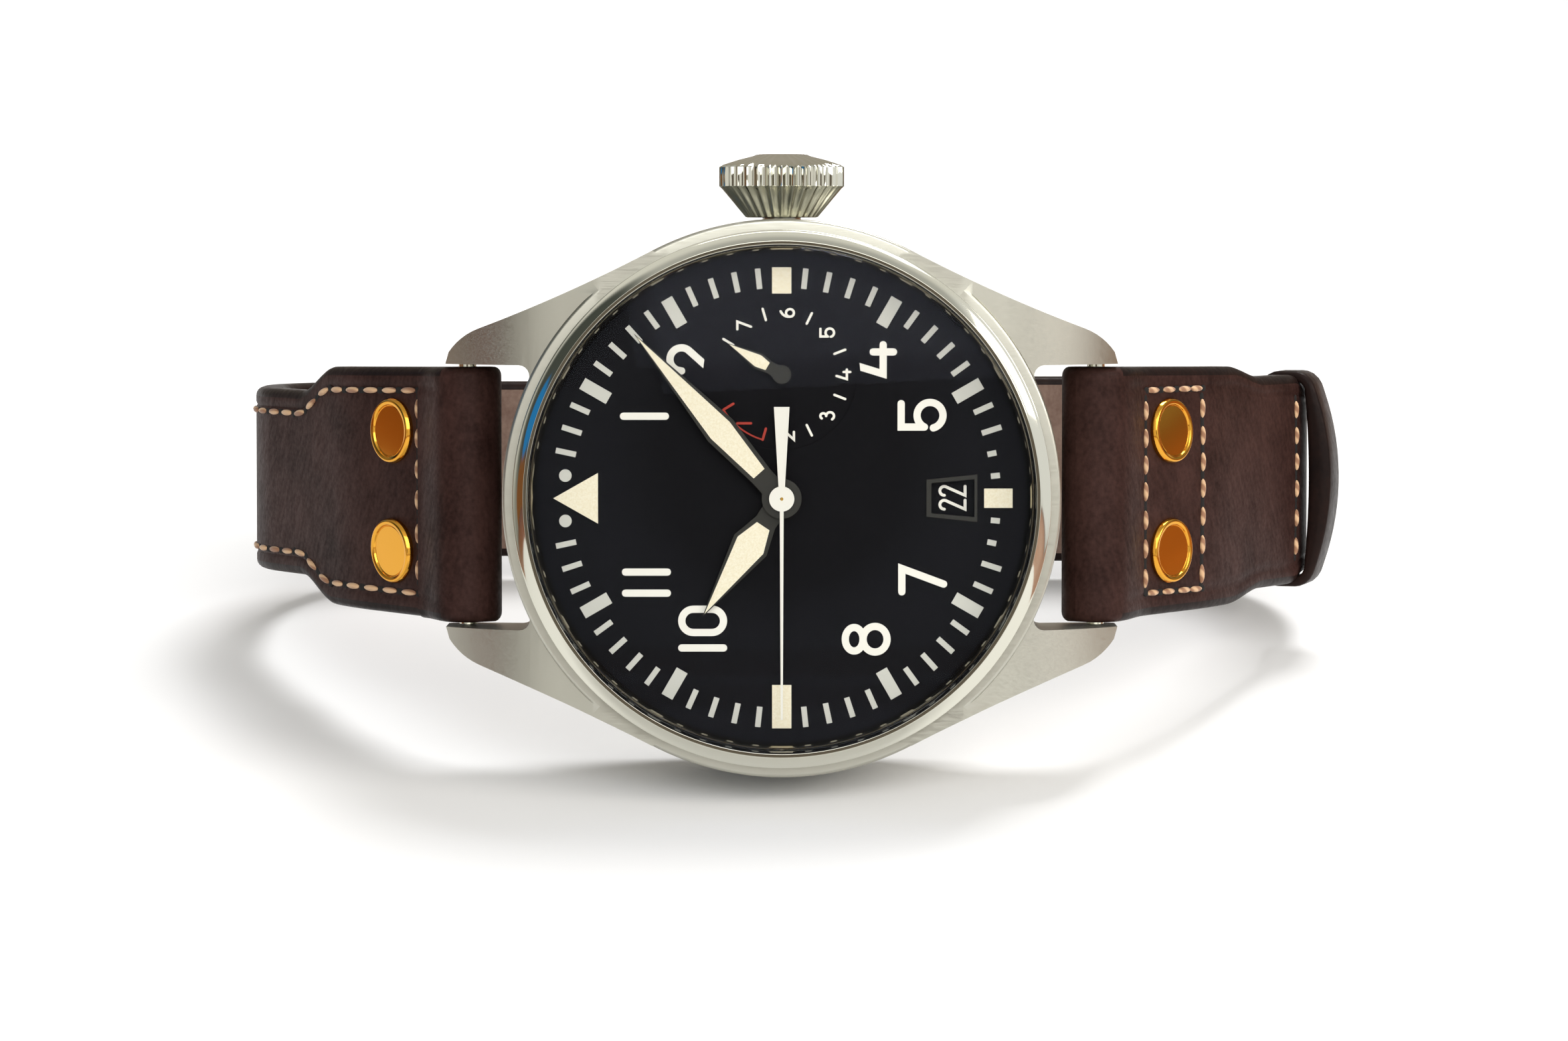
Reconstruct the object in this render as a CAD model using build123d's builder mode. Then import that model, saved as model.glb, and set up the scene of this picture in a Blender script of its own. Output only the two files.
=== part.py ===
"""Pilot watch: steel case, black dial, power reserve, self-winding movement, leather strap, folding clasp.

Modelled in the watch's own axes: +X to three o'clock, +Y to twelve o'clock, +Z out of the dial, with zero at
the rear face of the case back. The last step stands the watch on its nine o'clock flank, leaning back on the
clasp, with +Z up. All sizes are in millimetres and all angles in degrees.
"""

import os
from functools import partial
from math import acos, atan2, cos, degrees, hypot, pi, radians, sin, tan

from build123d import *

os.makedirs("parts", exist_ok=True)

# Case
case_radius = 23.1
case_rear = 1.8
case_front = 12.2
case_edge = 0.6
case_wall = 2.5
case_bore = case_radius - case_wall
flange_step = 0.55
flange_seat = case_bore + flange_step
fit_gap = 0.05
back_margin = 1.7
back_radius = case_radius - back_margin
back_floor = 1.0
back_collar_wall = 0.9
back_edge = 0.4
gasket_depth = 0.45
gasket_width = 0.4
gasket_radius = case_bore + gasket_width

# Lugs and spring bars, with places from the case
lug_gap = 22.0
lug_reach = 5.0
lug_tip = case_radius + lug_reach
lug_root_angle = 27.56
lug_root = (case_radius * cos(radians(lug_root_angle)), case_radius * sin(radians(lug_root_angle)))
lug_shoulder_width = 3.0
lug_shoulder_setback = 2.9
lug_shoulder = (lug_gap / 2 + lug_shoulder_width, lug_tip - lug_shoulder_setback)
lug_end_width = 1.0
lug_end_setback = 0.3
lug_end = (lug_gap / 2 + lug_end_width, lug_tip - lug_end_setback)
lug_inner_depth = 8.1
lug_inner_root = case_radius - lug_inner_depth
lug_rear = 0.8
lug_rear_depth = 4.1
lug_rear_start = case_radius - lug_rear_depth
lug_top_depth = 5.1
lug_top_start = case_radius - lug_top_depth
lug_knee_reach = 1.1
lug_knee_drop = 2.2
lug_top_knee = (case_radius + lug_knee_reach, case_front - lug_knee_drop)
lug_tip_front = 6.0
bar_reach = 3.3
bar_place = case_radius + bar_reach
bar_height = 3.2
bar_radius = 0.75
bar_pivot_radius = 0.45
bar_pivot_length = 0.8
bar_play = 0.05

# Dial side
dial_margin = 0.1
dial_radius = case_bore - dial_margin
dial_rear = 10.45
dial_front = 10.95
flange_front = 12.3
flange_lip = 0.3
flange_inner_rear = dial_radius - flange_lip
flange_inner_front = dial_radius + flange_lip
crystal_radius = flange_inner_front
crystal_rear = 12.35
crystal_side_front = 14.1
crystal_apex = 15.8
crystal_inner_apex = 13.6
bezel_margin = 0.9
bezel_radius = case_radius - bezel_margin
bezel_slope_width = 0.8
bezel_top_radius = bezel_radius - bezel_slope_width
crystal_seat_width = 0.25
bezel_bore = crystal_radius + crystal_seat_width
bezel_front = 14.0
bezel_foot = 0.35
print_height = 0.04
numeral_print_height = 0.06
marker_height = 0.1

# Dial layout
numeral_height = 4.06
numeral_stroke = 0.6
numeral_ring = 13.4
track_inner = 17.4
track_outer = 19.1
tick_width = 0.46
short_tick_outer = 18.15
block_inner = 16.5
block_outer = 19.03
block_width = 1.03
marker_width = 1.6
marker_three_inner = 16.93
marker_six_inner = 16.75
marker_nine_inner = 15.5
marker_outer = 19.1
triangle_base = 15.2
triangle_tip = 18.9
triangle_width = 4.2
dot_ring = 17.9
dot_spread = 1.88
dot_radius = 0.52
subdial_place = 10.25
subdial_radius = 6.25
subdial_depth = 0.12
subdial_ring_width = 0.14
scale_ring = 5.1
scale_height = 1.32
scale_stroke = 0.2
scale_tick_inner = 4.68
scale_tick_outer = 5.63
scale_step = 42.5
scale_six_angle = 5.0
low_arc_width = 0.13
window_near = 12.38
window_far = 15.95
window_near_width = 2.5
window_far_width = 3.16
window_frame_near = 11.98
window_frame_far = 16.18
window_frame_near_width = 3.06
window_frame_far_width = 3.93
date_height = 2.45
date_width = 1.15
date_stroke = 0.24
date_ring = 14.15
date_squeeze_share = 0.64

# Hands
hour_angle = 303.8
minute_angle = 48.2
reserve_angle = 30.0
hour_hand_rear = 11.35
minute_hand_rear = 11.8
seconds_hand_rear = 12.22
reserve_hand_rear = 11.12
hand_thickness = 0.18
seconds_thickness = 0.12
hand_border = 0.32
lume_proud = 0.05
hand_hub = 1.65
hour_tip = 12.1
hour_wide_place = 4.65
hour_wide = 1.28
hour_foot = 2.75
hour_foot_width = 0.62
minute_tip = 18.6
minute_wide_place = 7.6
minute_wide = 1.04
minute_foot = 2.8
minute_foot_width = 0.6
reserve_tip = 5.3
reserve_wide_place = 2.25
reserve_wide = 0.53
reserve_foot = 1.34
reserve_foot_width = 0.35
reserve_hub = 0.78
reserve_border = 0.16
lume_tip_gap = 0.6
reserve_lume_tip_gap = 0.28
seconds_reach = 18.3
seconds_needle = 0.33
seconds_boss = 1.04
seconds_tail = 7.6
seconds_tail_end = 1.29
seconds_tail_root = 0.42

# Movement
ring_play = 0.2
ring_outer = case_bore - ring_play
ring_wall = 1.1
ring_inner = ring_outer - ring_wall
ring_rear = 2.9
cover_play = 0.3
cover_radius = case_bore - cover_play
cover_rear = 2.55
cover_front = 2.85
plate_play = 0.1
plate_radius = ring_inner - plate_play
plate_rear = 8.2
plate_front = 9.9
bridge_setback = 1.7
bridge_radius = plate_radius - bridge_setback
bridge_rear = 4.6
bridge_front = 5.3
pillar_radius = 1.1
pillar_ring = 16.0
pivot_radius = 0.12
pivot_play = 0.04
pivot_depth = 0.4
arbor_radius = 0.25
end_play = 0.05
screw_radius = 0.75
screw_head = 0.25
module_train = 0.16
module_third = 0.16 * 90 / 85
module_fourth = 0.14
barrel_teeth = 96
center_teeth = 80
center_pinion_teeth = 12
third_teeth = 75
third_pinion_teeth = 10
fourth_teeth = 90
fourth_pinion_teeth = 10
escape_pinion_teeth = 10
escape_teeth = 20
barrel_bearing = 315.0
third_bearing = 180.0
escape_bearing = 100.0
barrel_distance = module_train * (barrel_teeth + center_pinion_teeth) / 2
third_distance = module_train * (center_teeth + third_pinion_teeth) / 2
escape_distance = module_fourth * (fourth_teeth + escape_pinion_teeth) / 2
barrel_drum_radius = 7.1
barrel_wall = 0.35
barrel_drum_rear = 5.95
barrel_teeth_rear = 7.12
barrel_teeth_front = 7.4
barrel_arbor_radius = 0.55
center_wheel_rear = 7.7
center_wheel_front = 7.92
center_pinion_rear = 7.02
center_tube_radius = 0.36
seconds_arbor_radius = 0.14
running_play = 0.05
cannon_radius = 0.66
cannon_rear = 9.2
hour_pipe_radius = 1.0
hour_wheel_rear = 9.98
hour_wheel_front = 10.2
third_wheel_rear = 6.3
third_wheel_front = 6.5
third_pinion_rear = 7.6
third_pinion_front = 8.05
fourth_wheel_rear = 5.64
fourth_wheel_front = 5.8
fourth_pinion_rear = 6.15
fourth_pinion_front = 6.65
escape_pinion_rear = 5.55
escape_pinion_front = 5.9
escape_rear = 6.9
escape_front = 7.1
escape_radius = 2.4
escape_root = 1.9
wheel_rim = 0.7
hub_radius = 0.8
spoke_width = 0.5
spoke_count = 4
pallet_distance = 3.8
pallet_bearing = 115.0
pallet_arm = 2.1
pallet_width = 0.4
fork_length = 2.5
fork_bearing = 125.0
balance_distance = 3.5
balance_radius = 4.4
balance_rim = 0.6
balance_rear = 5.95
balance_front = 6.35
roller_radius = 0.55
roller_front = 7.1
hairspring_inner = 0.7
hairspring_outer = 2.4
hairspring_turns = 5
hairspring_steps = 16
hairspring_strip = 0.07
hairspring_rear = 5.45
hairspring_front = 5.7
cock_width = 3.0
bearing_post_radius = 1.5
bearing_post_rear = 3.15
rotor_bore = 1.55
rotor_hub = 3.0
rotor_hub_rear = 3.25
rotor_hub_front = 4.2
rotor_web_rear = 3.4
rotor_web_front = 3.8
rotor_clearance = 1.0
rotor_radius = plate_radius - rotor_clearance
rotor_rim = 2.6
rotor_rim_rear = 3.05
rotor_rim_front = 4.35
rotor_half_angle = 84.0

# Motion works and date
module_motion = 0.13
cannon_teeth = 12
minute_wheel_teeth = 36
minute_pinion_teeth = 10
hour_wheel_teeth = 40
minute_wheel_bearing = 90.0
cannon_leaf_rear = 9.95
cannon_leaf_front = 10.15
works_step = 0.03
date_disc_outer = 16.8
date_disc_inner = 11.2
date_disc_rear = 9.95
date_disc_front = 10.2
date_count = 31
date_shown = 22
dial_hole = 1.15
reserve_arbor_radius = 0.3

# Winding and crown
stem_height = 7.0
stem_radius = 0.75
stem_inner_end = 13.6
crown_tube_radius = 1.6
crown_standoff = 0.1
crown_near = case_radius + crown_standoff
crown_near_radius = 3.0
tube_overlap = 0.3
crown_tube_outer_end = crown_near + tube_overlap
tube_setback = 0.1
crown_tube_inner_end = case_bore + tube_setback
crown_cone_length = 2.6
crown_band_near = crown_near + crown_cone_length
crown_band_length = 1.7
crown_band_far = crown_band_near + crown_band_length
crown_radius = 5.2
crown_cap_length = 1.0
crown_cap_place = crown_band_far + crown_cap_length
crown_cap_radius = 2.15
crown_socket_depth = 1.4
crown_flutes = 32
flute_radius = 0.42
flute_sink_share = 0.55
crown_gasket_width = 0.5
winding_pinion_teeth = 18
winding_pinion_width = 1.0
crown_wheel_teeth = 48
ratchet_teeth = 60
crown_wheel_offset = -2.0
ratchet_rear = 5.35
ratchet_front = 5.55

# Strap, seen along the spring bar: down from the lugs, round the side of the wrist, and under it
strap_thickness = 2.6
strap_fold_radius = 2.85
strap_crook_reach = 9.6
strap_crook_place = bar_place + strap_crook_reach
strap_crook_drop = 11.7
strap_crook_height = bar_height - strap_crook_drop
strap_crook_bend = 30.0
strap_side_reach = 19.5
strap_side = bar_place + strap_side_reach
strap_knee_drop = 29.7
strap_knee = bar_height - strap_knee_drop
strap_under_drop = 49.2
strap_under = bar_height - strap_under_drop
strap_upper_bend = 16.0
strap_lower_bend = 13.0
strap_lug_width = 21.4
strap_shoulder_width = 20.7
strap_twelve_width = 16.2
strap_six_width = 18.6
shoulder_start = 19.0
shoulder_length = 7.0
rivet_place = 8.7
rivet_spread = 5.1
rivet_radius = 2.85
rivet_height = 0.75
rivet_edge = 0.5
rivet_shank_radius = 0.9
keeper_wall = 0.9
keeper_gap = 0.3
keeper_angle_share = 0.62

# Folding clasp
clasp_width = 20.6
clasp_end = 20.6
clasp_sheet = 0.9
clasp_base_height = -44.2
clasp_leaf_height = -45.4
clasp_cover_height = -46.7
clasp_hinge = 14.5
clasp_pivot = -12.4
clasp_cover_tail = -15.5
clasp_window = 10.6
clasp_leaf_width = 9.8
clasp_knuckle = 0.95
clasp_pin = 0.5
clasp_ear = 0.7
clasp_gap = 0.25
clasp_rail = 17.0
clasp_corner = 2.0

overrun = 1.0
seated = (Align.CENTER, Align.CENTER, Align.MIN)

# Gear teeth, as shares of the module and of one tooth's step
addendum_share = 0.8
dedendum_share = 1.1
tooth_tip_share = 0.12
tooth_foot_share = 0.28

pieces = {}


def keep(name, piece):
    """Label one finished piece and put it with the others."""
    piece.part.label = name
    pieces[name] = piece.part


def polar(distance, bearing, centre=(0, 0)):
    """A point at a distance and a bearing, counted anticlockwise from three o'clock."""
    return (centre[0] + distance * cos(radians(bearing)), centre[1] + distance * sin(radians(bearing)))


def disc(radius, bottom, top, place=(0, 0), mode=Mode.ADD):
    """Add or cut one upright cylinder between two heights."""
    with Locations((place[0], place[1], bottom)):
        Cylinder(radius, top - bottom, align=seated, mode=mode)


def turned(*profile, mode=Mode.ADD):
    """Add or cut a ring turned about the dial's axis from (radius, height) corners."""
    with BuildSketch(Plane.XZ) as section:
        with BuildLine():
            Polyline(*profile, close=True)
        make_face()
    revolve(section.sketch, axis=Axis.Z, mode=mode)


def gear(teeth, module, bottom, top, place=(0, 0), phase=0.0):
    """Add a toothed disc with one tooth at the angle phase."""
    tip = module * (teeth / 2 + addendum_share)
    root = module * (teeth / 2 - dedendum_share)
    rising = ((-tooth_foot_share, root), (-tooth_tip_share, tip))
    falling = ((tooth_tip_share, tip), (tooth_foot_share, root))
    flanks = rising + falling
    corners = []
    for tooth in range(teeth):
        for share, radius in flanks:
            corners.append(polar(radius, phase + 360 * (tooth + share) / teeth, place))
    with BuildSketch(Plane.XY.offset(bottom)) as outline:
        with BuildLine():
            Polyline(*corners, close=True)
        make_face()
    extrude(outline.sketch, amount=top - bottom)


def meshed_phase(phase, teeth, own_teeth, bearing):
    """The phase that puts a gear's gap on its driver's tooth, the gear lying at a bearing from the driver."""
    driver_lead = phase - bearing
    return bearing + 180 - (teeth * driver_lead + 180) / own_teeth


def arbor(place, radius=arbor_radius):
    """Add an arbor between the bridge and the plate, with a pivot at each end."""
    disc(radius, bridge_front + end_play, plate_rear - end_play, place)
    disc(pivot_radius, bridge_front - pivot_depth, plate_rear + pivot_depth, place)


def spoked(radius, bottom, top, place=(0, 0), turn=0.0):
    """Cut a wheel's web away between its hub and rim, leaving its spokes."""
    with BuildSketch(Plane.XY.offset(bottom)) as openings:
        with Locations(place):
            Circle(radius - wheel_rim)
            Circle(hub_radius, mode=Mode.SUBTRACT)
            with PolarLocations(radius / 2, spoke_count, start_angle=turn):
                Rectangle(radius, spoke_width, mode=Mode.SUBTRACT)
    extrude(openings.sketch, amount=top - bottom, mode=Mode.SUBTRACT)


def stroke(width, *runs):
    """Draw pen strokes with round ends and corners along lines and arcs, in the current sketch."""
    with BuildLine() as pen:
        for run in runs:
            run()
    trace(pen.line, line_width=width)
    for end in pen.vertices():
        with Locations((end.X, end.Y)):
            Circle(width / 2)


def line(*points):
    """A stroke's run through points."""
    return partial(Polyline, *points)


def arc(centre, radius, start, sweep):
    """A stroke's run from a start angle through a sweep, clockwise where the sweep is negative."""
    return partial(CenterArc, centre, radius, start, sweep)


def bow(start, middle, end):
    """A stroke's run through three points of a circle."""
    return partial(ThreePointArc, start, middle, end)


# A digit's centre lines, as shares of its height from its middle
digit_top_share = 0.426
digit_waist_share = 0.064
digit_half_width_share = 0.238
bowl_share = 0.235
small_bowl_share = 0.17
five_bowl_share = 0.264
eight_low_share = 0.262
eight_high_share = 0.24
four_bar_share = -0.216
four_reach_share = 0.297
four_stem_share = 0.15
four_stem_top_share = -0.015
four_slant_share = -0.1
seven_foot_share = -0.08
six_knee_share = -0.17
six_knee_height_share = 0.16
six_end_share = 0.1
six_end_height_share = 0.4
two_bowl_turn = -215.0
five_bowl_start = 180 - degrees(acos(digit_half_width_share / five_bowl_share))
five_bowl_end = -165.0
three_start = 150.0


def loop(middle, low, high, radius):
    """The runs of a long ring, upright between two heights."""
    left = middle - radius
    right = middle + radius
    return (
        arc((middle, high - radius), radius, 0, 180),
        line((left, high - radius), (left, low + radius)),
        arc((middle, low + radius), radius, 180, 180),
        line((right, low + radius), (right, high - radius)),
    )


def digit(number, height, width, at=(0, 0), squeeze=1.0):
    """Draw one upright numeral with a pen of the given width, in the current sketch."""
    x, y = at
    top = y + height * digit_top_share
    foot = y - height * digit_top_share
    waist = y + height * digit_waist_share
    left = x - height * digit_half_width_share * squeeze
    right = x + height * digit_half_width_share * squeeze
    bowl = height * bowl_share * squeeze
    small = height * small_bowl_share * squeeze

    def across(share):
        return x + height * share * squeeze

    if number == 0:
        stroke(width, *loop(x, foot, top, right - x))
    elif number == 1:
        stroke(width, line((x, foot), (x, top)))
    elif number == 2:
        centre = (x, top - bowl)
        slant = polar(bowl, 180 + two_bowl_turn, centre)
        stroke(width, arc(centre, bowl, 180, two_bowl_turn), line(slant, (left, foot), (right, foot)))
    elif number == 3:
        stroke(
            width,
            arc((x, top - small), small, three_start, -three_start),
            line((x + small, top - small), (x + small, waist + small)),
            arc((x, waist + small), small, 0, -90),
        )
        stroke(
            width,
            arc((x, waist - bowl), bowl, 90, -90),
            line((x + bowl, waist - bowl), (x + bowl, foot + bowl)),
            arc((x, foot + bowl), bowl, 0, -three_start),
        )
    elif number == 4:
        bar = y + height * four_bar_share
        stem = across(four_stem_share)
        slant = line(
            (across(four_slant_share), top), (across(-four_reach_share), bar), (across(four_reach_share), bar)
        )
        stroke(width, slant)
        stroke(width, line((stem, y + height * four_stem_top_share), (stem, foot)))
    elif number == 5:
        radius = height * five_bowl_share * squeeze
        centre = (x, foot + radius)
        start = polar(radius, five_bowl_start, centre)
        stroke(width, line((right, top), (left, top), start))
        stroke(width, arc(centre, radius, five_bowl_start, five_bowl_end - five_bowl_start))
    elif number == 7:
        stroke(width, line((left, top), (right, top), (across(seven_foot_share), foot)))
    elif number == 8:
        low_bowl = (foot, waist, height * eight_low_share * squeeze)
        high_bowl = (waist, top, height * eight_high_share * squeeze)
        for grow, mode in ((width / 2, Mode.ADD), (-width / 2, Mode.SUBTRACT)):
            for low, high, reach in (low_bowl, high_bowl):
                with Locations((x, (low + high) / 2)):
                    Ellipse(reach + grow, (high - low) / 2 + grow, mode=mode)
    else:
        way = 1 if number == 6 else -1
        low, high = sorted((y - way * (y - foot), y + way * (waist - y)))
        hip = y - way * (y - foot - bowl)
        knee = (across(way * six_knee_share), y + way * height * six_knee_height_share)
        end = (across(way * six_end_share), y + way * height * six_end_height_share)
        stroke(width, *loop(x, low, high, bowl))
        stroke(width, bow((x - way * bowl, hip), knee, end))


def radial_bar(inner, outer, width, bearing):
    """Draw one bar that points outward at a bearing, in the current sketch."""
    with Locations(Location(polar((inner + outer) / 2, bearing), bearing)):
        Rectangle(outer - inner, width)


# Lugs: plan outline of one lug, cut by the lug's profile seen along the spring bar, then mirrored to four
root_tangent = (-lug_root[1], lug_root[0])
with BuildPart() as lug:
    with BuildSketch(Plane.XY.offset(lug_rear)):
        with BuildLine() as outline:
            side = TangentArc(lug_root, lug_shoulder, tangent=root_tangent)
            tip = TangentArc(lug_shoulder, lug_end, tangent=side % 1)
            inner_corner = (lug_gap / 2, lug_inner_root)
            Polyline(tip @ 1, (lug_gap / 2, lug_tip), inner_corner, (lug_inner_root, 0), lug_root)
        make_face()
    extrude(amount=case_front - lug_rear)
    with BuildSketch(Plane.YZ):
        with BuildLine():
            Polyline((0, case_front), (0, case_rear), (lug_rear_start, case_rear), (bar_place, lug_rear))
            Polyline((bar_place, lug_rear), (lug_tip, lug_rear + case_edge), (lug_tip, lug_tip_front))
            ThreePointArc((lug_tip, lug_tip_front), lug_top_knee, (lug_top_start, case_front - case_edge))
            Polyline((lug_top_start, case_front - case_edge), (lug_inner_root, case_front), (0, case_front))
        make_face()
    extrude(amount=case_radius, mode=Mode.INTERSECT)

# Middle case: bored drum with four lugs, a front seat for the flange and a bore for the crown tube
with BuildPart() as mid_case:
    turned(
        (0, case_rear), (case_radius - case_edge, case_rear), (case_radius, case_rear + case_edge),
        (case_radius, case_front - case_edge / 2), (case_radius - case_edge / 2, case_front), (0, case_front),
    )
    add(lug.part)
    add(mirror(lug.part, about=Plane.XZ, mode=Mode.PRIVATE))
    add(mirror(lug.part, about=Plane.YZ, mode=Mode.PRIVATE))
    add(mirror(mirror(lug.part, about=Plane.YZ, mode=Mode.PRIVATE), about=Plane.XZ, mode=Mode.PRIVATE))
    disc(case_bore, 0, dial_front, mode=Mode.SUBTRACT)
    disc(flange_seat, dial_front, case_front + overrun, mode=Mode.SUBTRACT)
    with Locations(Plane.YZ.offset(case_bore - overrun)):
        with Locations((0, stem_height)):
            Cylinder(crown_tube_radius, case_radius, align=seated, mode=Mode.SUBTRACT)
    with Locations((0, bar_place, bar_height), (0, -bar_place, bar_height)):
        Cylinder(
            bar_pivot_radius + bar_play, lug_gap + 2 * (bar_pivot_length + bar_play),
            rotation=(0, 90, 0), mode=Mode.SUBTRACT,
        )
keep("mid_case", mid_case)

# Bezel: polished ring with a hollow slope
with BuildPart() as bezel:
    with BuildSketch(Plane.XZ):
        with BuildLine():
            Polyline(
                (bezel_top_radius, bezel_front), (bezel_bore, bezel_front), (bezel_bore, case_front),
                (bezel_radius, case_front), (bezel_radius, case_front + bezel_foot),
            )
            slope_middle = (
                (bezel_radius + bezel_top_radius) / 2 - bezel_foot / 4,
                (case_front + bezel_foot + bezel_front) / 2 - bezel_foot / 4,
            )
            slope_foot = (bezel_radius, case_front + bezel_foot)
            ThreePointArc(slope_foot, slope_middle, (bezel_top_radius, bezel_front))
        make_face()
    revolve(axis=Axis.Z)
keep("bezel", bezel)

# Crystal: domed on both sides, with an upright edge
with BuildPart() as crystal:
    with BuildSketch(Plane.XZ):
        with BuildLine():
            inner_rise = crystal_inner_apex - crystal_rear
            inner_radius = (crystal_radius ** 2 + inner_rise ** 2) / (2 * inner_rise)
            RadiusArc((0, crystal_inner_apex), (crystal_radius, crystal_rear), inner_radius)
            Line((crystal_radius, crystal_rear), (crystal_radius, crystal_side_front))
            outer_rise = crystal_apex - crystal_side_front
            outer_radius = (crystal_radius ** 2 + outer_rise ** 2) / (2 * outer_rise)
            RadiusArc((crystal_radius, crystal_side_front), (0, crystal_apex), -outer_radius)
            Line((0, crystal_apex), (0, crystal_inner_apex))
        make_face()
    revolve(axis=Axis.Z)
keep("crystal", crystal)

# Crystal gasket: thin ring between crystal and bezel
with BuildPart() as crystal_gasket:
    disc(bezel_bore - fit_gap / 2, crystal_rear, bezel_front - fit_gap)
    disc(crystal_radius + fit_gap / 2, 0, case_front * 2, mode=Mode.SUBTRACT)
keep("crystal_gasket", crystal_gasket)

# Dial flange: sloped ring between dial and crystal
with BuildPart() as dial_flange:
    turned(
        (flange_inner_rear, dial_front), (flange_seat - fit_gap, dial_front),
        (flange_seat - fit_gap, flange_front - fit_gap * 2), (flange_inner_front, flange_front - fit_gap * 2),
    )
keep("dial_flange", dial_flange)

# Case back: flat screwed cover with a collar inside the case and a groove for its gasket
with BuildPart() as case_back:
    turned(
        (0, 0), (back_radius - back_edge, 0), (back_radius, back_edge), (back_radius, case_rear),
        (case_bore - fit_gap, case_rear), (case_bore - fit_gap, cover_rear),
        (case_bore - fit_gap - back_collar_wall, cover_rear),
        (case_bore - fit_gap - back_collar_wall, back_floor),
        (0, back_floor),
    )
    turned(
        (gasket_radius - gasket_width / 2, case_rear - gasket_depth),
        (gasket_radius + gasket_width / 2, case_rear - gasket_depth),
        (gasket_radius + gasket_width / 2, case_rear), (gasket_radius - gasket_width / 2, case_rear),
        mode=Mode.SUBTRACT,
    )
keep("case_back", case_back)

with BuildPart() as case_back_gasket:
    gasket_play = fit_gap / 2
    turned(
        (gasket_radius - gasket_width / 2 + gasket_play, case_rear - gasket_depth),
        (gasket_radius + gasket_width / 2 - gasket_play, case_rear - gasket_depth),
        (gasket_radius + gasket_width / 2 - gasket_play, case_rear),
        (gasket_radius - gasket_width / 2 + gasket_play, case_rear),
    )
keep("case_back_gasket", case_back_gasket)

# Soft-iron cover that shields the movement, held by the case back's collar
with BuildPart() as iron_cover:
    disc(cover_radius, cover_rear, cover_front)
keep("iron_cover", iron_cover)

# Movement ring: holds the movement in the case and carries the dial
with BuildPart() as movement_ring:
    disc(ring_outer, cover_front, dial_rear)
    disc(ring_inner, 0, case_front, mode=Mode.SUBTRACT)
    disc(plate_radius + fit_gap, plate_rear, plate_front, mode=Mode.SUBTRACT)
    with Locations(Plane.YZ.offset(case_bore / 2)):
        with Locations((0, stem_height)):
            Cylinder(crown_tube_radius, case_radius, align=seated, mode=Mode.SUBTRACT)
keep("movement_ring", movement_ring)

# Spring bars across the lugs
with BuildPart() as lug_spring_bars:
    with Locations((0, bar_place, bar_height), (0, -bar_place, bar_height)):
        Cylinder(bar_radius, lug_gap - 2 * bar_play, rotation=(0, 90, 0))
        Cylinder(bar_pivot_radius, lug_gap + 2 * bar_pivot_length, rotation=(0, 90, 0))
keep("lug_spring_bars", lug_spring_bars)

# Dial: black plate with a sunk subdial, a date window and holes for the hands
subdial_centre = (subdial_place, 0)


def window(near, far, near_width, far_width):
    """Draw the date window's outline, which widens toward six o'clock, in the current sketch."""
    with BuildLine() as edge:
        Polyline(
            (-near_width / 2, -near), (near_width / 2, -near),
            (far_width / 2, -far), (-far_width / 2, -far), close=True
        )
    make_face(edge.edges())


with BuildPart() as dial:
    disc(dial_radius, dial_rear, dial_front)
    disc(subdial_radius, dial_front - subdial_depth, dial_front + overrun, subdial_centre, Mode.SUBTRACT)
    disc(dial_hole, 0, case_front, mode=Mode.SUBTRACT)
    disc(reserve_arbor_radius + running_play, 0, case_front, subdial_centre, Mode.SUBTRACT)
    with BuildSketch(Plane.XY.offset(dial_rear)):
        window(window_near, window_far, window_near_width, window_far_width)
    extrude(amount=dial_front, mode=Mode.SUBTRACT)
keep("dial", dial)

with BuildPart() as date_window_frame:
    with BuildSketch(Plane.XY.offset(dial_front)):
        window(window_frame_near, window_frame_far, window_frame_near_width, window_frame_far_width)
    extrude(amount=marker_height)
    with BuildSketch(Plane.XY.offset(dial_front)):
        window(window_near, window_far, window_near_width, window_far_width)
    extrude(amount=marker_height, mode=Mode.SUBTRACT)
keep("date_window_frame", date_window_frame)

# Hour numerals, upright, with those beside the subdial cut off by it; places are shares of the numeral ring
numeral_place_shares = {
    (1,): (0.507, 0.847),
    (2,): (0.858, 0.56),
    (4,): (0.858, -0.56),
    (5,): (0.512, -0.866),
    (7,): (-0.507, -0.871),
    (8,): (-0.873, -0.522),
    (1, 0): (-0.843, 0.489),
    (1, 1): (-0.522, 0.836),
}
digit_pitch = 2.25
eleven_pitch = 1.75
subdial_margin = 0.25
with BuildPart() as dial_numerals:
    with BuildSketch(Plane.XY.offset(dial_front)):
        for digits, (across_share, up_share) in numeral_place_shares.items():
            pitch = eleven_pitch if digits == (1, 1) else digit_pitch
            for index, number in enumerate(digits):
                shift = (index - (len(digits) - 1) / 2) * pitch
                place = (numeral_ring * across_share + shift, numeral_ring * up_share)
                digit(number, numeral_height, numeral_stroke, place)
        with Locations(subdial_centre):
            Circle(subdial_radius + subdial_margin, mode=Mode.SUBTRACT)
    extrude(amount=numeral_print_height)
keep("dial_numerals", dial_numerals)

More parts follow.
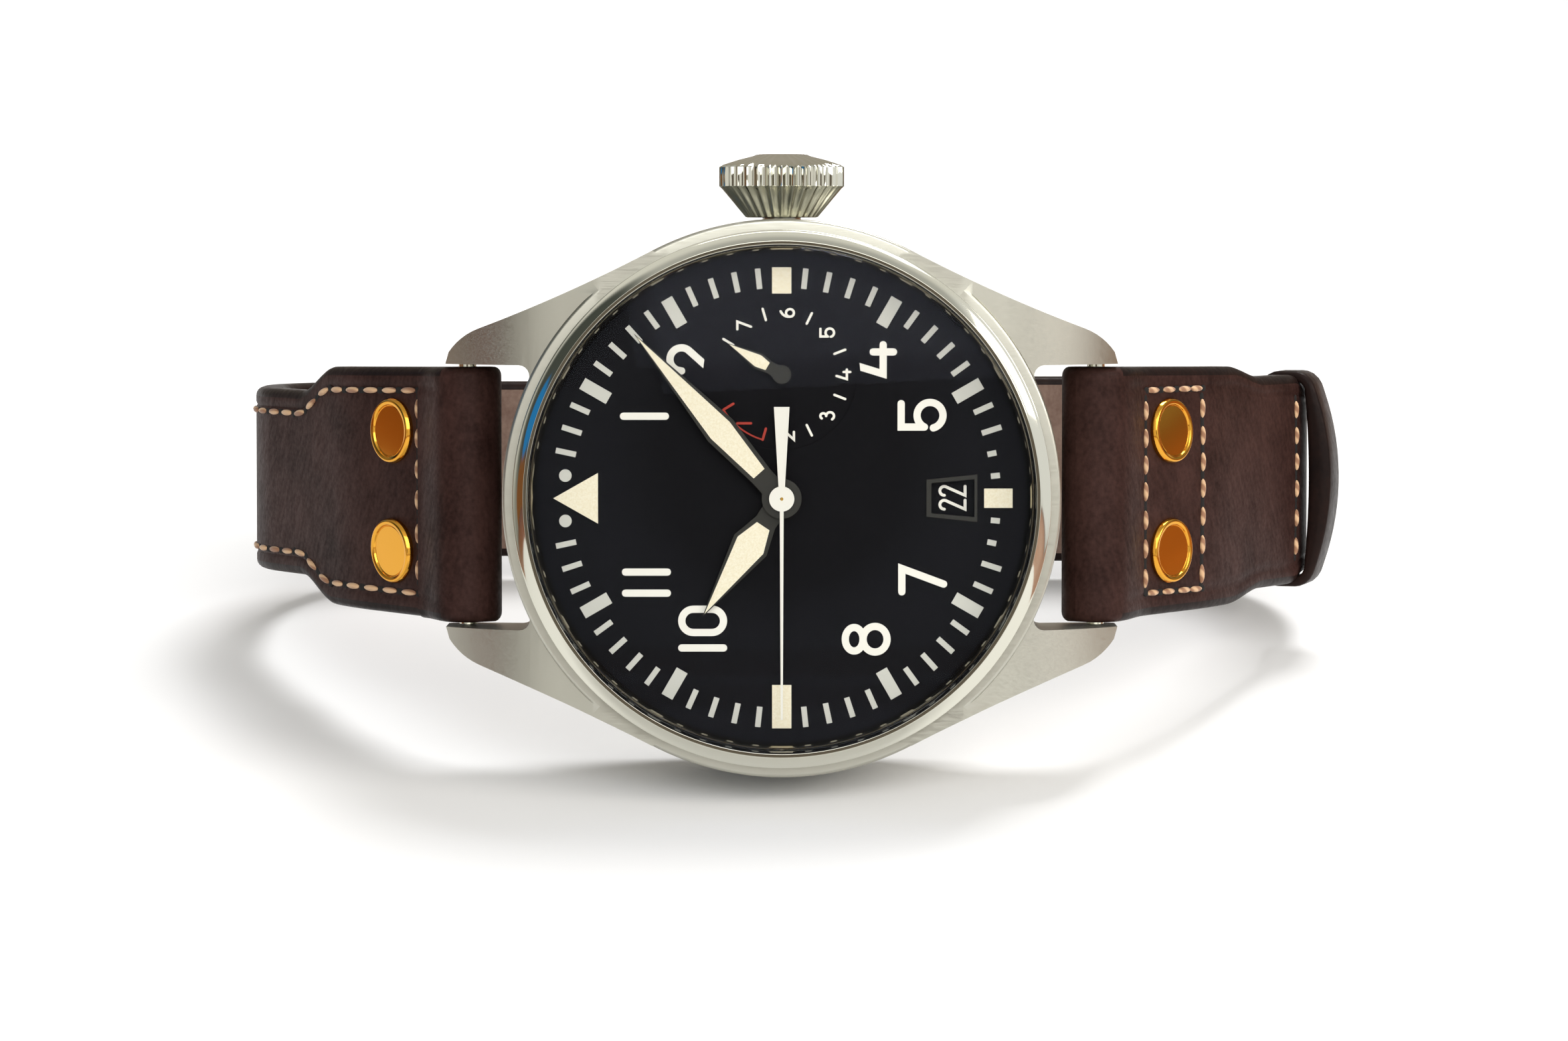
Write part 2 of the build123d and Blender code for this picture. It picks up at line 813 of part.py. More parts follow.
# Minute track: sixty marks, short ones by the date and plain blocks at the hours that have no cream marker
minutes = 60
short_ticks = (28, 29, 31, 32)
dotted_minutes = (1, 59)
with BuildPart() as minute_track:
    with BuildSketch(Plane.XY.offset(dial_front)):
        for minute in range(minutes):
            bearing = 90 - 360 * minute / minutes
            if minute % 15 == 0 or minute in dotted_minutes:
                continue
            if minute % 5 == 0:
                radial_bar(block_inner, block_outer, block_width, bearing)
            elif minute in short_ticks:
                radial_bar(track_inner, short_tick_outer, tick_width, bearing)
            else:
                radial_bar(track_inner, track_outer, tick_width, bearing)
        with Locations((-dot_spread, dot_ring), (dot_spread, dot_ring)):
            Circle(dot_radius)
    extrude(amount=print_height)
keep("minute_track", minute_track)

with BuildPart() as hour_markers:
    with BuildSketch(Plane.XY.offset(dial_front)):
        with BuildLine():
            Polyline(
                (0, triangle_tip), (-triangle_width / 2, triangle_base),
                (triangle_width / 2, triangle_base), close=True
            )
        make_face()
        radial_bar(marker_three_inner, marker_outer, marker_width, 0)
        radial_bar(marker_six_inner, marker_outer, marker_width, 270)
        radial_bar(marker_nine_inner, marker_outer, marker_width, 180)
    extrude(amount=marker_height)
keep("hour_markers", hour_markers)

# Power reserve scale: days two to seven in white, the last day and its arc in red
scale_floor = dial_front - subdial_depth
first_day = 2
last_day = 7


def scale_bearing(day):
    """The bearing of a day on the power reserve scale."""
    return -(scale_six_angle + (6 - day) * scale_step)


def scale_place(bearing, radius=scale_ring):
    return polar(radius, bearing, subdial_centre)


def scale_tick(day):
    """Draw one tick of the power reserve scale, in the current sketch."""
    bearing = scale_bearing(day)
    inner = scale_place(bearing, scale_tick_inner)
    outer = scale_place(bearing, scale_tick_outer)
    stroke(scale_stroke, line(inner, outer))


with BuildPart() as reserve_scale:
    with BuildSketch(Plane.XY.offset(scale_floor)):
        for day in range(first_day, last_day + 1):
            digit(day, scale_height, scale_stroke, scale_place(scale_bearing(day)))
            scale_tick(day + 0.5)
    extrude(amount=print_height)
keep("reserve_scale", reserve_scale)

with BuildPart() as reserve_low_mark:
    with BuildSketch(Plane.XY.offset(scale_floor)):
        digit(1, scale_height, scale_stroke, scale_place(scale_bearing(1)))
        scale_tick(0.5)
        scale_tick(1.5)
        stroke(low_arc_width, arc(subdial_centre, scale_tick_outer, scale_bearing(0.5), scale_step))
    extrude(amount=print_height)
keep("reserve_low_mark", reserve_low_mark)

# Date disc with its thirty-one numbers, the shown one in the window at six o'clock
date_step = 360 / date_count
with BuildPart() as date_disc:
    disc(date_disc_outer, date_disc_rear, date_disc_front)
    disc(date_disc_inner, 0, case_front, mode=Mode.SUBTRACT)
keep("date_disc", date_disc)

with BuildPart() as date_numerals:
    with BuildSketch(Plane.XY.offset(date_disc_front)):
        for date in range(1, date_count + 1):
            with BuildSketch(mode=Mode.PRIVATE) as number:
                figures = [int(figure) for figure in str(date)]
                for index, figure in enumerate(figures):
                    shift = (index - (len(figures) - 1) / 2) * date_width
                    digit(figure, date_height, date_stroke, (shift, -date_ring), squeeze=date_squeeze_share)
            add(number.sketch, rotation=(date_shown - date) * date_step)
    extrude(amount=print_height)
keep("date_numerals", date_numerals)


# Hands: a black frame that holds a cream filling
def hand_outline(foot, foot_width, wide_place, wide, tip, border=0.0):
    """Draw half-widths of a lozenge hand along +Y, grown by its border, in the current sketch."""
    grow = border / cos(atan2(wide, tip - wide_place))
    with BuildLine() as edge:
        Polyline(
            (foot_width + border, foot - border), (wide + border, wide_place), (0, tip + grow),
            (-wide - border, wide_place), (-foot_width - border, foot - border), close=True,
        )
    make_face(edge.edges())


def hand_frame(rear, hub, pipe, foot, foot_width, wide_place, wide, tip, border):
    """Add a hand's frame along +Y, with its hub and its pipe's hole."""
    with BuildSketch(Plane.XY.offset(rear)) as frame:
        hand_outline(foot, foot_width, wide_place, wide, tip, border)
        Circle(hub)
        with Locations((0, foot / 2)):
            Rectangle(2 * (foot_width + border), foot)
        hand_outline_cut(foot, foot_width, wide_place, wide, tip)
        Circle(pipe, mode=Mode.SUBTRACT)
    extrude(frame.sketch, amount=hand_thickness)


def hand_outline_cut(foot, foot_width, wide_place, wide, tip):
    """Cut the filling's opening out of a hand, in the current sketch."""
    with BuildSketch(mode=Mode.PRIVATE) as opening:
        hand_outline(foot, foot_width, wide_place, wide, tip)
    add(opening.sketch, mode=Mode.SUBTRACT)


def filling(rear, foot, foot_width, wide_place, wide, tip):
    """Add the cream filling of a hand, standing a little proud of its frame."""
    with BuildSketch(Plane.XY.offset(rear)) as inlay:
        hand_outline(foot, foot_width, wide_place, wide, tip)
    extrude(inlay.sketch, amount=hand_thickness + lume_proud)


hour_shape = (hour_foot, hour_foot_width, hour_wide_place, hour_wide, hour_tip - lume_tip_gap)
minute_shape = (minute_foot, minute_foot_width, minute_wide_place, minute_wide, minute_tip - lume_tip_gap)
reserve_shape = (
    reserve_foot, reserve_foot_width, reserve_wide_place, reserve_wide, reserve_tip - reserve_lume_tip_gap,
)

with BuildPart() as hour_hand:
    hand_frame(hour_hand_rear, hand_hub, hour_pipe_radius, *hour_shape, hand_border)
hour_hand.part = hour_hand.part.rotate(Axis.Z, -hour_angle)
keep("hour_hand", hour_hand)

with BuildPart() as hour_hand_lume:
    filling(hour_hand_rear, *hour_shape)
hour_hand_lume.part = hour_hand_lume.part.rotate(Axis.Z, -hour_angle)
keep("hour_hand_lume", hour_hand_lume)

with BuildPart() as minute_hand:
    hand_frame(minute_hand_rear, hand_hub, cannon_radius, *minute_shape, hand_border)
minute_hand.part = minute_hand.part.rotate(Axis.Z, -minute_angle)
keep("minute_hand", minute_hand)

with BuildPart() as minute_hand_lume:
    filling(minute_hand_rear, *minute_shape)
minute_hand_lume.part = minute_hand_lume.part.rotate(Axis.Z, -minute_angle)
keep("minute_hand_lume", minute_hand_lume)

reserve_seat = Location((subdial_place, 0, 0), (0, 0, -reserve_angle))
with BuildPart() as reserve_hand:
    hand_frame(reserve_hand_rear, reserve_hub, reserve_arbor_radius / 2, *reserve_shape, reserve_border)
    disc(reserve_arbor_radius, plate_front - pivot_depth, reserve_hand_rear + hand_thickness)
    disc(
        reserve_arbor_radius + fit_gap * 2,
        reserve_hand_rear - fit_gap * 2, reserve_hand_rear + hand_thickness
    )
reserve_hand.part = reserve_seat * reserve_hand.part
keep("reserve_hand", reserve_hand)

with BuildPart() as reserve_hand_lume:
    filling(reserve_hand_rear, *reserve_shape)
reserve_hand_lume.part = reserve_seat * reserve_hand_lume.part
keep("reserve_hand_lume", reserve_hand_lume)

# Seconds hand: needle toward nine o'clock, boss, and a tail that widens toward three o'clock
with BuildPart() as seconds_hand:
    with BuildSketch(Plane.XY.offset(seconds_hand_rear)):
        with BuildLine():
            Polyline(
                (-seconds_reach, seconds_needle / 4), (0, seconds_needle / 2), (0, -seconds_needle / 2),
                (-seconds_reach, -seconds_needle / 4), close=True,
            )
        make_face()
        with BuildLine():
            Polyline(
                (0, seconds_tail_root / 2), (seconds_tail, seconds_tail_end / 2),
                (seconds_tail, -seconds_tail_end / 2), (0, -seconds_tail_root / 2), close=True,
            )
        make_face()
        Circle(seconds_boss)
        Circle(seconds_arbor_radius, mode=Mode.SUBTRACT)
    extrude(amount=seconds_thickness)
keep("seconds_hand", seconds_hand)

# Places in the movement
barrel_place = polar(barrel_distance, barrel_bearing)
third_place = polar(third_distance, third_bearing)
escape_place = polar(escape_distance, escape_bearing)
pallet_place = polar(pallet_distance, pallet_bearing, escape_place)
balance_place = polar(balance_distance, fork_bearing, pallet_place)
minute_wheel_distance = module_motion * (cannon_teeth + minute_wheel_teeth) / 2
minute_wheel_place = polar(minute_wheel_distance, minute_wheel_bearing)
motion_module_hour = 2 * minute_wheel_distance / (minute_pinion_teeth + hour_wheel_teeth)
crown_wheel_span = module_train * (crown_wheel_teeth + ratchet_teeth) / 2
crown_wheel_reach = crown_wheel_offset - barrel_place[1]
crown_wheel_place = (
    barrel_place[0] + (crown_wheel_span ** 2 - crown_wheel_reach ** 2) ** 0.5, crown_wheel_offset,
)
crown_wheel_radius = module_train * crown_wheel_teeth / 2
winding_pinion_place = crown_wheel_place[0] + (crown_wheel_radius ** 2 - crown_wheel_offset ** 2) ** 0.5
pivots = (third_place, escape_place, pallet_place)
pillar_bearings = (20.0, 60.0, 215.0, 250.0)
pillar_places = [polar(pillar_ring, bearing) for bearing in pillar_bearings]
cock_pillar_place = polar(pillar_ring, degrees(atan2(balance_place[1], balance_place[0])) + 25)

# The stem's axis and the winding pinion on it
stem_plane = Plane(origin=(0, 0, stem_height), x_dir=(0, 1, 0), z_dir=(1, 0, 0))


def on_stem(radius, near, far, mode=Mode.ADD):
    """Add or cut a cylinder on the stem's axis between two distances from the dial's axis."""
    with Locations(stem_plane.offset(near)):
        Cylinder(radius, far - near, align=seated, mode=mode)


pinion_near = winding_pinion_place - winding_pinion_width / 2
pinion_far = winding_pinion_place + winding_pinion_width / 2
pinion_tip = stem_height - ratchet_front - works_step
pinion_module = pinion_tip / (winding_pinion_teeth / 2 + addendum_share)
# Main plate: carries every pivot on the dial side
with BuildPart() as main_plate:
    disc(plate_radius, plate_rear, plate_front)
    for place in pivots + (balance_place,):
        disc(pivot_radius + pivot_play, 0, plate_rear + pivot_depth + end_play, place, Mode.SUBTRACT)
    disc(
        barrel_arbor_radius + running_play, 0, plate_rear + pivot_depth + end_play, barrel_place,
        Mode.SUBTRACT
    )
    disc(cannon_radius + running_play, 0, case_front, mode=Mode.SUBTRACT)
    disc(
        arbor_radius + running_play, plate_front - pivot_depth * 2, case_front, minute_wheel_place,
        Mode.SUBTRACT
    )
    disc(
        reserve_arbor_radius + running_play, plate_front - pivot_depth - end_play, case_front,
        subdial_centre, Mode.SUBTRACT
    )
    on_stem(
        pinion_tip + running_play,
        pinion_near - running_play,
        pinion_far + running_play,
        Mode.SUBTRACT,
    )
keep("main_plate", main_plate)

# Train bridge on its pillars, with a notch for the balance cock
def cock_outline(width):
    """Add the cock's arm from its pillar to the balance, as a sketch at the bridge's rear."""
    with BuildSketch(Plane.XY.offset(bridge_rear)) as arm:
        stroke(width, line(cock_pillar_place, balance_place))
    return arm.sketch


with BuildPart() as train_bridge:
    disc(bridge_radius, bridge_rear, bridge_front)
    extrude(cock_outline(cock_width + 2 * fit_gap), amount=bridge_front, mode=Mode.SUBTRACT)
    for place in pillar_places:
        disc(pillar_radius, bridge_front, plate_rear, place)
        disc(screw_radius + fit_gap, bridge_rear, bridge_rear + screw_head, place, Mode.SUBTRACT)
    for place in pivots:
        disc(pivot_radius + pivot_play, 0, case_front, place, Mode.SUBTRACT)
    bridge_seat = bridge_front - pivot_depth - end_play
    disc(pivot_radius + pivot_play, bridge_seat, case_front, mode=Mode.SUBTRACT)
    disc(barrel_arbor_radius + running_play, bridge_seat, case_front, barrel_place, Mode.SUBTRACT)
    disc(arbor_radius + running_play, bridge_seat, case_front, crown_wheel_place, Mode.SUBTRACT)
keep("train_bridge", train_bridge)

with BuildPart() as bridge_screws:
    for place in pillar_places:
        disc(screw_radius, bridge_rear, bridge_rear + screw_head, place)
        with Locations((*place, bridge_rear)):
            Box(screw_radius * 2, screw_head, screw_head / 2, align=seated, mode=Mode.SUBTRACT)
keep("bridge_screws", bridge_screws)

# Balance cock: arm from its own pillar over the balance
with BuildPart() as balance_cock:
    extrude(cock_outline(cock_width), amount=bridge_front - bridge_rear)
    disc(pillar_radius, bridge_front, plate_rear, cock_pillar_place)
    disc(pivot_radius + pivot_play, 0, case_front, balance_place, Mode.SUBTRACT)
keep("balance_cock", balance_cock)

# Barrel: toothed drum open toward the bridge, turning on the ratchet wheel's arbor
barrel_phase = barrel_bearing + 180
with BuildPart() as barrel:
    disc(barrel_drum_radius, barrel_drum_rear, barrel_teeth_rear, barrel_place)
    gear(barrel_teeth, module_train, barrel_teeth_rear, barrel_teeth_front, barrel_place, barrel_phase)
    disc(
        barrel_drum_radius - barrel_wall, 0, barrel_teeth_rear - barrel_wall, barrel_place, Mode.SUBTRACT
    )
    disc(barrel_arbor_radius * 2, barrel_drum_rear, barrel_teeth_rear, barrel_place)
    disc(barrel_arbor_radius + running_play, 0, case_front, barrel_place, Mode.SUBTRACT)
keep("barrel", barrel)

center_pinion_phase = meshed_phase(barrel_phase, barrel_teeth, center_pinion_teeth, barrel_bearing + 180)
with BuildPart() as center_wheel:
    gear(center_teeth, module_train, center_wheel_rear, center_wheel_front, phase=third_bearing)
    spoked(module_train * center_teeth / 2, center_wheel_rear, center_wheel_front)
    gear(center_pinion_teeth, module_train, center_pinion_rear, center_wheel_rear, phase=center_pinion_phase)
    disc(center_tube_radius, center_pinion_rear, minute_hand_rear + hand_thickness - fit_gap)
    disc(seconds_arbor_radius + running_play, 0, crystal_apex, mode=Mode.SUBTRACT)
keep("center_wheel", center_wheel)

third_pinion_phase = meshed_phase(third_bearing, center_teeth, third_pinion_teeth, third_bearing)
with BuildPart() as third_wheel:
    gear(
        third_pinion_teeth, module_train, third_pinion_rear, third_pinion_front, third_place,
        third_pinion_phase
    )
    gear(third_teeth, module_third, third_wheel_rear, third_wheel_front, third_place, third_bearing + 180)
    spoked(module_third * third_teeth / 2, third_wheel_rear, third_wheel_front, third_place)
    arbor(third_place)
keep("third_wheel", third_wheel)

fourth_pinion_phase = meshed_phase(third_bearing + 180, third_teeth, fourth_pinion_teeth, third_bearing + 180)
with BuildPart() as fourth_wheel:
    gear(fourth_teeth, module_fourth, fourth_wheel_rear, fourth_wheel_front, phase=escape_bearing)
    spoked(module_fourth * fourth_teeth / 2, fourth_wheel_rear, fourth_wheel_front)
    gear(
        fourth_pinion_teeth, module_third, fourth_pinion_rear, fourth_pinion_front,
        phase=fourth_pinion_phase
    )
    disc(arbor_radius, bridge_front + end_play, fourth_pinion_front)
    disc(pivot_radius, bridge_front - pivot_depth, bridge_front + end_play)
    disc(seconds_arbor_radius, fourth_pinion_front, seconds_hand_rear + seconds_thickness)
keep("fourth_wheel", fourth_wheel)

escape_pinion_phase = meshed_phase(escape_bearing, fourth_teeth, escape_pinion_teeth, escape_bearing)
with BuildPart() as escape_wheel:
    gear(
        escape_pinion_teeth, module_fourth, escape_pinion_rear, escape_pinion_front, escape_place,
        escape_pinion_phase
    )
    hooks = []
    for tooth in range(escape_teeth):
        hooks.append(polar(escape_root, 360 * tooth / escape_teeth, escape_place))
        hooks.append(polar(escape_radius, 360 * (tooth + tooth_foot_share) / escape_teeth, escape_place))
    with BuildSketch(Plane.XY.offset(escape_rear)):
        with BuildLine():
            Polyline(*hooks, close=True)
        make_face()
    extrude(amount=escape_front - escape_rear)
    arbor(escape_place)
keep("escape_wheel", escape_wheel)

# Pallet fork: two arms over the escape wheel and a lever toward the balance
pallet_spread = 52.0
pallet_clear = 0.25
with BuildPart() as pallet_fork:
    with BuildSketch(Plane.XY.offset(escape_rear)):
        for way in (-1, 1):
            arm_end = polar(pallet_arm, pallet_bearing + 180 + way * pallet_spread, pallet_place)
            stroke(pallet_width, line(pallet_place, arm_end))
        lever_end = polar(fork_length, fork_bearing, pallet_place)
        stroke(pallet_width, line(pallet_place, lever_end))
        with Locations(escape_place):
            Circle(escape_radius + pallet_clear, mode=Mode.SUBTRACT)
    extrude(amount=escape_front - escape_rear)
    arbor(pallet_place)
keep("pallet_fork", pallet_fork)

with BuildPart() as balance_wheel:
    disc(balance_radius, balance_rear, balance_front, balance_place)
    with BuildSketch(Plane.XY.offset(balance_rear)):
        with Locations(balance_place):
            Circle(balance_radius - balance_rim)
            Rectangle(balance_radius * 2, wheel_rim, mode=Mode.SUBTRACT)
            Rectangle(wheel_rim, balance_radius * 2, mode=Mode.SUBTRACT)
    extrude(amount=balance_front - balance_rear, mode=Mode.SUBTRACT)
    disc(roller_radius, balance_front, roller_front, balance_place)
    disc(arbor_radius, bridge_front + end_play, plate_rear - end_play, balance_place)
    disc(pivot_radius, bridge_front - pivot_depth, plate_rear + pivot_depth, balance_place)
keep("balance_wheel", balance_wheel)

# Hairspring: a flat spiral strip round the balance staff
with BuildPart() as hairspring:
    hairspring_pitch = (hairspring_outer - hairspring_inner) / hairspring_turns
    steps = hairspring_turns * hairspring_steps
    inside = []
    outside = []
    for step in range(steps + 1):
        reach = hairspring_inner + hairspring_pitch * step / hairspring_steps
        bearing = 360 * step / hairspring_steps
        inside.append(polar(reach - hairspring_strip / 2, bearing, balance_place))
        outside.append(polar(reach + hairspring_strip / 2, bearing, balance_place))
    with BuildSketch(Plane.XY.offset(hairspring_rear)):
        with BuildLine():
            Polyline(*inside, *reversed(outside), close=True)
        make_face()
    extrude(amount=hairspring_front - hairspring_rear)
    disc(hairspring_inner + hairspring_strip / 2, hairspring_rear, hairspring_front, balance_place)
    disc(arbor_radius, hairspring_rear, hairspring_front, balance_place, Mode.SUBTRACT)
keep("hairspring", hairspring)

# Winding rotor: a heavy half disc that hangs toward nine o'clock, on a post screwed to the bridge
with BuildPart() as rotor_bearing:
    disc(bearing_post_radius, bearing_post_rear, bridge_rear)
    disc(bearing_post_radius + fit_gap * 6, bearing_post_rear - fit_gap, bearing_post_rear + fit_gap)
keep("rotor_bearing", rotor_bearing)

with BuildPart() as winding_rotor:
    disc(rotor_radius, rotor_web_rear, rotor_web_front)
    turned(
        (rotor_radius - rotor_rim, rotor_rim_rear), (rotor_radius, rotor_rim_rear),
        (rotor_radius, rotor_rim_front), (rotor_radius - rotor_rim, rotor_rim_front),
    )
    with BuildSketch(Plane.XY.offset(rotor_rim_rear)):
        with BuildLine():
            start = polar(rotor_radius * 2, 180 - rotor_half_angle)
            finish = polar(rotor_radius * 2, 180 + rotor_half_angle)
            outside = ((rotor_radius * 2, start[1]), (rotor_radius * 2, finish[1]))
            Polyline((0, 0), start, *outside, finish, close=True)
        make_face()
    extrude(amount=rotor_rim_front - rotor_rim_rear, mode=Mode.SUBTRACT)
    disc(rotor_hub, rotor_hub_rear, rotor_hub_front)
    disc(rotor_bore, 0, bridge_front, mode=Mode.SUBTRACT)
keep("winding_rotor", winding_rotor)

# Motion works: cannon pinion on the centre tube, minute wheel and hour wheel under the dial
with BuildPart() as cannon_pinion:
    gear(cannon_teeth, module_motion, cannon_leaf_rear, cannon_leaf_front, phase=minute_wheel_bearing)
    disc(cannon_radius, cannon_rear, minute_hand_rear + hand_thickness)
    disc(center_tube_radius + running_play, 0, crystal_apex, mode=Mode.SUBTRACT)
keep("cannon_pinion", cannon_pinion)

minute_wheel_phase = meshed_phase(
    minute_wheel_bearing, cannon_teeth, minute_wheel_teeth, minute_wheel_bearing
)
with BuildPart() as minute_wheel:
    gear(
        minute_wheel_teeth, module_motion, cannon_leaf_rear, cannon_leaf_front - works_step,
        minute_wheel_place, minute_wheel_phase,
    )
    gear(
        minute_pinion_teeth, motion_module_hour, cannon_leaf_front - works_step, dial_rear - works_step,
        minute_wheel_place, minute_wheel_bearing + 180,
    )
    disc(arbor_radius, plate_front - pivot_depth, cannon_leaf_rear, minute_wheel_place)
keep("minute_wheel", minute_wheel)

hour_wheel_phase = meshed_phase(
    minute_wheel_bearing + 180, minute_pinion_teeth, hour_wheel_teeth, minute_wheel_bearing + 180
)
with BuildPart() as hour_wheel:
    gear(
        hour_wheel_teeth, motion_module_hour, cannon_leaf_front + works_step, dial_rear - works_step * 2,
        phase=hour_wheel_phase,
    )
    disc(hour_pipe_radius, cannon_leaf_front + works_step, hour_hand_rear + hand_thickness)
    disc(cannon_radius + running_play, 0, crystal_apex, mode=Mode.SUBTRACT)
keep("hour_wheel", hour_wheel)

# Keyless works: stem, winding pinion, crown wheel and ratchet wheel
with BuildPart() as winding_pinion:
    on_stem(pinion_tip, pinion_near, pinion_far)
    with BuildSketch(stem_plane.offset(pinion_near)):
        with PolarLocations(pinion_tip, winding_pinion_teeth, start_angle=180 / winding_pinion_teeth):
            Rectangle(pinion_module * 2, pinion_module * pi / 2)
    extrude(amount=winding_pinion_width, mode=Mode.SUBTRACT)
    on_stem(stem_radius + running_play, pinion_near - overrun, pinion_far + overrun, Mode.SUBTRACT)
keep("winding_pinion", winding_pinion)

with BuildPart() as winding_stem:
    on_stem(stem_radius, stem_inner_end, crown_band_near)
keep("winding_stem", winding_stem)

ratchet_bearing = degrees(
    atan2(crown_wheel_place[1] - barrel_place[1], crown_wheel_place[0] - barrel_place[0])
)
with BuildPart() as ratchet_wheel:
    gear(ratchet_teeth, module_train, ratchet_rear, ratchet_front, barrel_place, ratchet_bearing)
    disc(barrel_arbor_radius, bridge_front - pivot_depth, plate_rear + pivot_depth, barrel_place)
keep("ratchet_wheel", ratchet_wheel)

crown_wheel_phase = meshed_phase(ratchet_bearing, ratchet_teeth, crown_wheel_teeth, ratchet_bearing)
with BuildPart() as crown_wheel:
    gear(crown_wheel_teeth, module_train, ratchet_rear, ratchet_front, crown_wheel_place, crown_wheel_phase)
    disc(arbor_radius, bridge_front - pivot_depth, ratchet_rear, crown_wheel_place)
keep("crown_wheel", crown_wheel)

with BuildPart() as crown_tube:
    on_stem(crown_tube_radius, crown_tube_inner_end, crown_tube_outer_end)
    on_stem(stem_radius + running_play, crown_tube_inner_end, crown_tube_outer_end, Mode.SUBTRACT)
keep("crown_tube", crown_tube)

# Crown: a double cone with a band between, fluted all round
with BuildPart() as crown:
    with BuildSketch(Plane.XZ):
        with BuildLine():
            Polyline(
                (crown_near, stem_height), (crown_near, stem_height + crown_near_radius),
                (crown_band_near, stem_height + crown_radius), (crown_band_far, stem_height + crown_radius),
                (crown_cap_place, stem_height + crown_cap_radius), (crown_cap_place, stem_height), close=True,
            )
        make_face()
    revolve(axis=Axis((0, 0, stem_height), (1, 0, 0)))
    with Locations(stem_plane.offset(crown_near)):
        with PolarLocations(crown_radius + flute_radius * flute_sink_share, crown_flutes):
            Cylinder(flute_radius, crown_cap_place - crown_near, align=seated, mode=Mode.SUBTRACT)
    on_stem(stem_radius, crown_near, crown_band_near, Mode.SUBTRACT)
    socket_radius = crown_tube_radius + crown_gasket_width + fit_gap
    on_stem(socket_radius, crown_near - overrun, crown_near + crown_socket_depth, Mode.SUBTRACT)
keep("crown", crown)

with BuildPart() as crown_gasket:
    on_stem(socket_radius, crown_near + crown_gasket_width, crown_near + crown_socket_depth)
    on_stem(stem_radius, crown_near, crown_near + crown_socket_depth, Mode.SUBTRACT)
keep("crown_gasket", crown_gasket)


# Strap: both halves follow the same line seen along the spring bar, as (distance to the side, height)
strap_bar = (bar_place, bar_height)
strap_crook = (strap_crook_place, strap_crook_height)
strap_corner = (strap_side, strap_knee)
front_length = hypot(strap_crook_place - bar_place, bar_height - strap_crook_height)
front_slope = degrees(atan2(bar_height - strap_crook_height, strap_crook_place - bar_place))
side_slope = degrees(atan2(strap_crook_height - strap_knee, strap_side - strap_crook_place))
shoulder_stop = polar(shoulder_start + shoulder_length - front_length, -side_slope, strap_crook)
shoulder_slope = degrees(atan2(bar_height - shoulder_stop[1], shoulder_stop[0] - bar_place))
shoulder_lead = 0.2


def strap_plane(slope):
    """A plane at the spring bar with its y axis down the strap and its z axis outward."""
    tilt = radians(slope)
    return Plane(origin=(0, bar_place, bar_height), x_dir=(1, 0, 0), z_dir=(0, sin(tilt), cos(tilt)))


def shouldered_run(width):
    """The strap's wide run from the spring bar to its shoulders, where it narrows to a width."""
    with BuildPart() as run:
        with BuildSketch(Plane.YZ):
            with BuildLine() as middle:
                FilletPolyline(strap_bar, strap_crook, shoulder_stop, radius=strap_crook_bend)
            trace(middle.line, line_width=strap_thickness)
        extrude(amount=strap_lug_width / 2, both=True)
        with BuildSketch(strap_plane(shoulder_slope)):
            with BuildLine():
                lug_half = strap_lug_width / 2
                wide = strap_shoulder_width / 2
                narrow = width / 2
                stop = shoulder_start + shoulder_length
                for way in (-1, 1):
                    lead = (-way * shoulder_lead, 1)
                    Line((way * lug_half, -strap_thickness), (way * wide, shoulder_start))
                    Spline((way * wide, shoulder_start), (way * narrow, stop), tangents=(lead, lead))
                Line((-lug_half, -strap_thickness), (lug_half, -strap_thickness))
                Line((-narrow, stop), (narrow, stop))
            make_face()
        extrude(amount=strap_thickness * 3, both=True, mode=Mode.INTERSECT)
    return run.part


def strap_half(width):
    """Add one strap half on the twelve o'clock side, from its fold round the spring bar to its clasp bar."""
    with BuildSketch(Plane.YZ) as profile:
        with BuildLine() as middle:
            FilletPolyline(
                strap_bar, strap_crook, strap_corner, (strap_side, strap_under), (clasp_end, strap_under),
                radius=(strap_crook_bend, strap_upper_bend, strap_lower_bend),
            )
        trace(middle.line, line_width=strap_thickness)
        with Locations((clasp_end, strap_under)):
            Circle(strap_thickness / 2)
    extrude(profile.sketch, amount=width / 2, both=True)
    add(shouldered_run(width))
    with Locations((0, bar_place, bar_height)):
        Cylinder(strap_fold_radius, strap_lug_width, rotation=(0, 90, 0))
        Cylinder(bar_radius + bar_play, strap_lug_width + overrun, rotation=(0, 90, 0), mode=Mode.SUBTRACT)
    with Locations((0, clasp_end, strap_under)):
        Cylinder(bar_radius + bar_play, strap_lug_width + overrun, rotation=(0, 90, 0), mode=Mode.SUBTRACT)
    for seat in rivet_seats:
        with Locations(seat):
            Cylinder(rivet_shank_radius, strap_thickness * 3, mode=Mode.SUBTRACT)


def rivets():
    """Add the two rivets of a strap half on the twelve o'clock side: turned caps, with their heels inside."""
    with BuildSketch(Plane.XZ) as section:
        with BuildLine():
            Polyline(
                (0, 0), (rivet_radius - rivet_edge / 2, 0), (rivet_radius, rivet_edge / 2),
                (rivet_radius, rivet_height - rivet_edge / 2), (rivet_radius - rivet_edge / 2, rivet_height),
                (rivet_radius - rivet_edge, rivet_height - rivet_edge / 4), (0, rivet_height), close=True,
            )
        make_face()
    revolve(section.sketch, axis=Axis.Z)
    disc(rivet_shank_radius, -strap_thickness - rivet_edge / 2, 0)
    disc(rivet_shank_radius * 2, -strap_thickness - rivet_edge / 2, -strap_thickness)


rivet_seats = [
    strap_plane(front_slope).location * Location((way * rivet_spread, rivet_place, strap_thickness / 2))
    for way in (-1, 1)
]

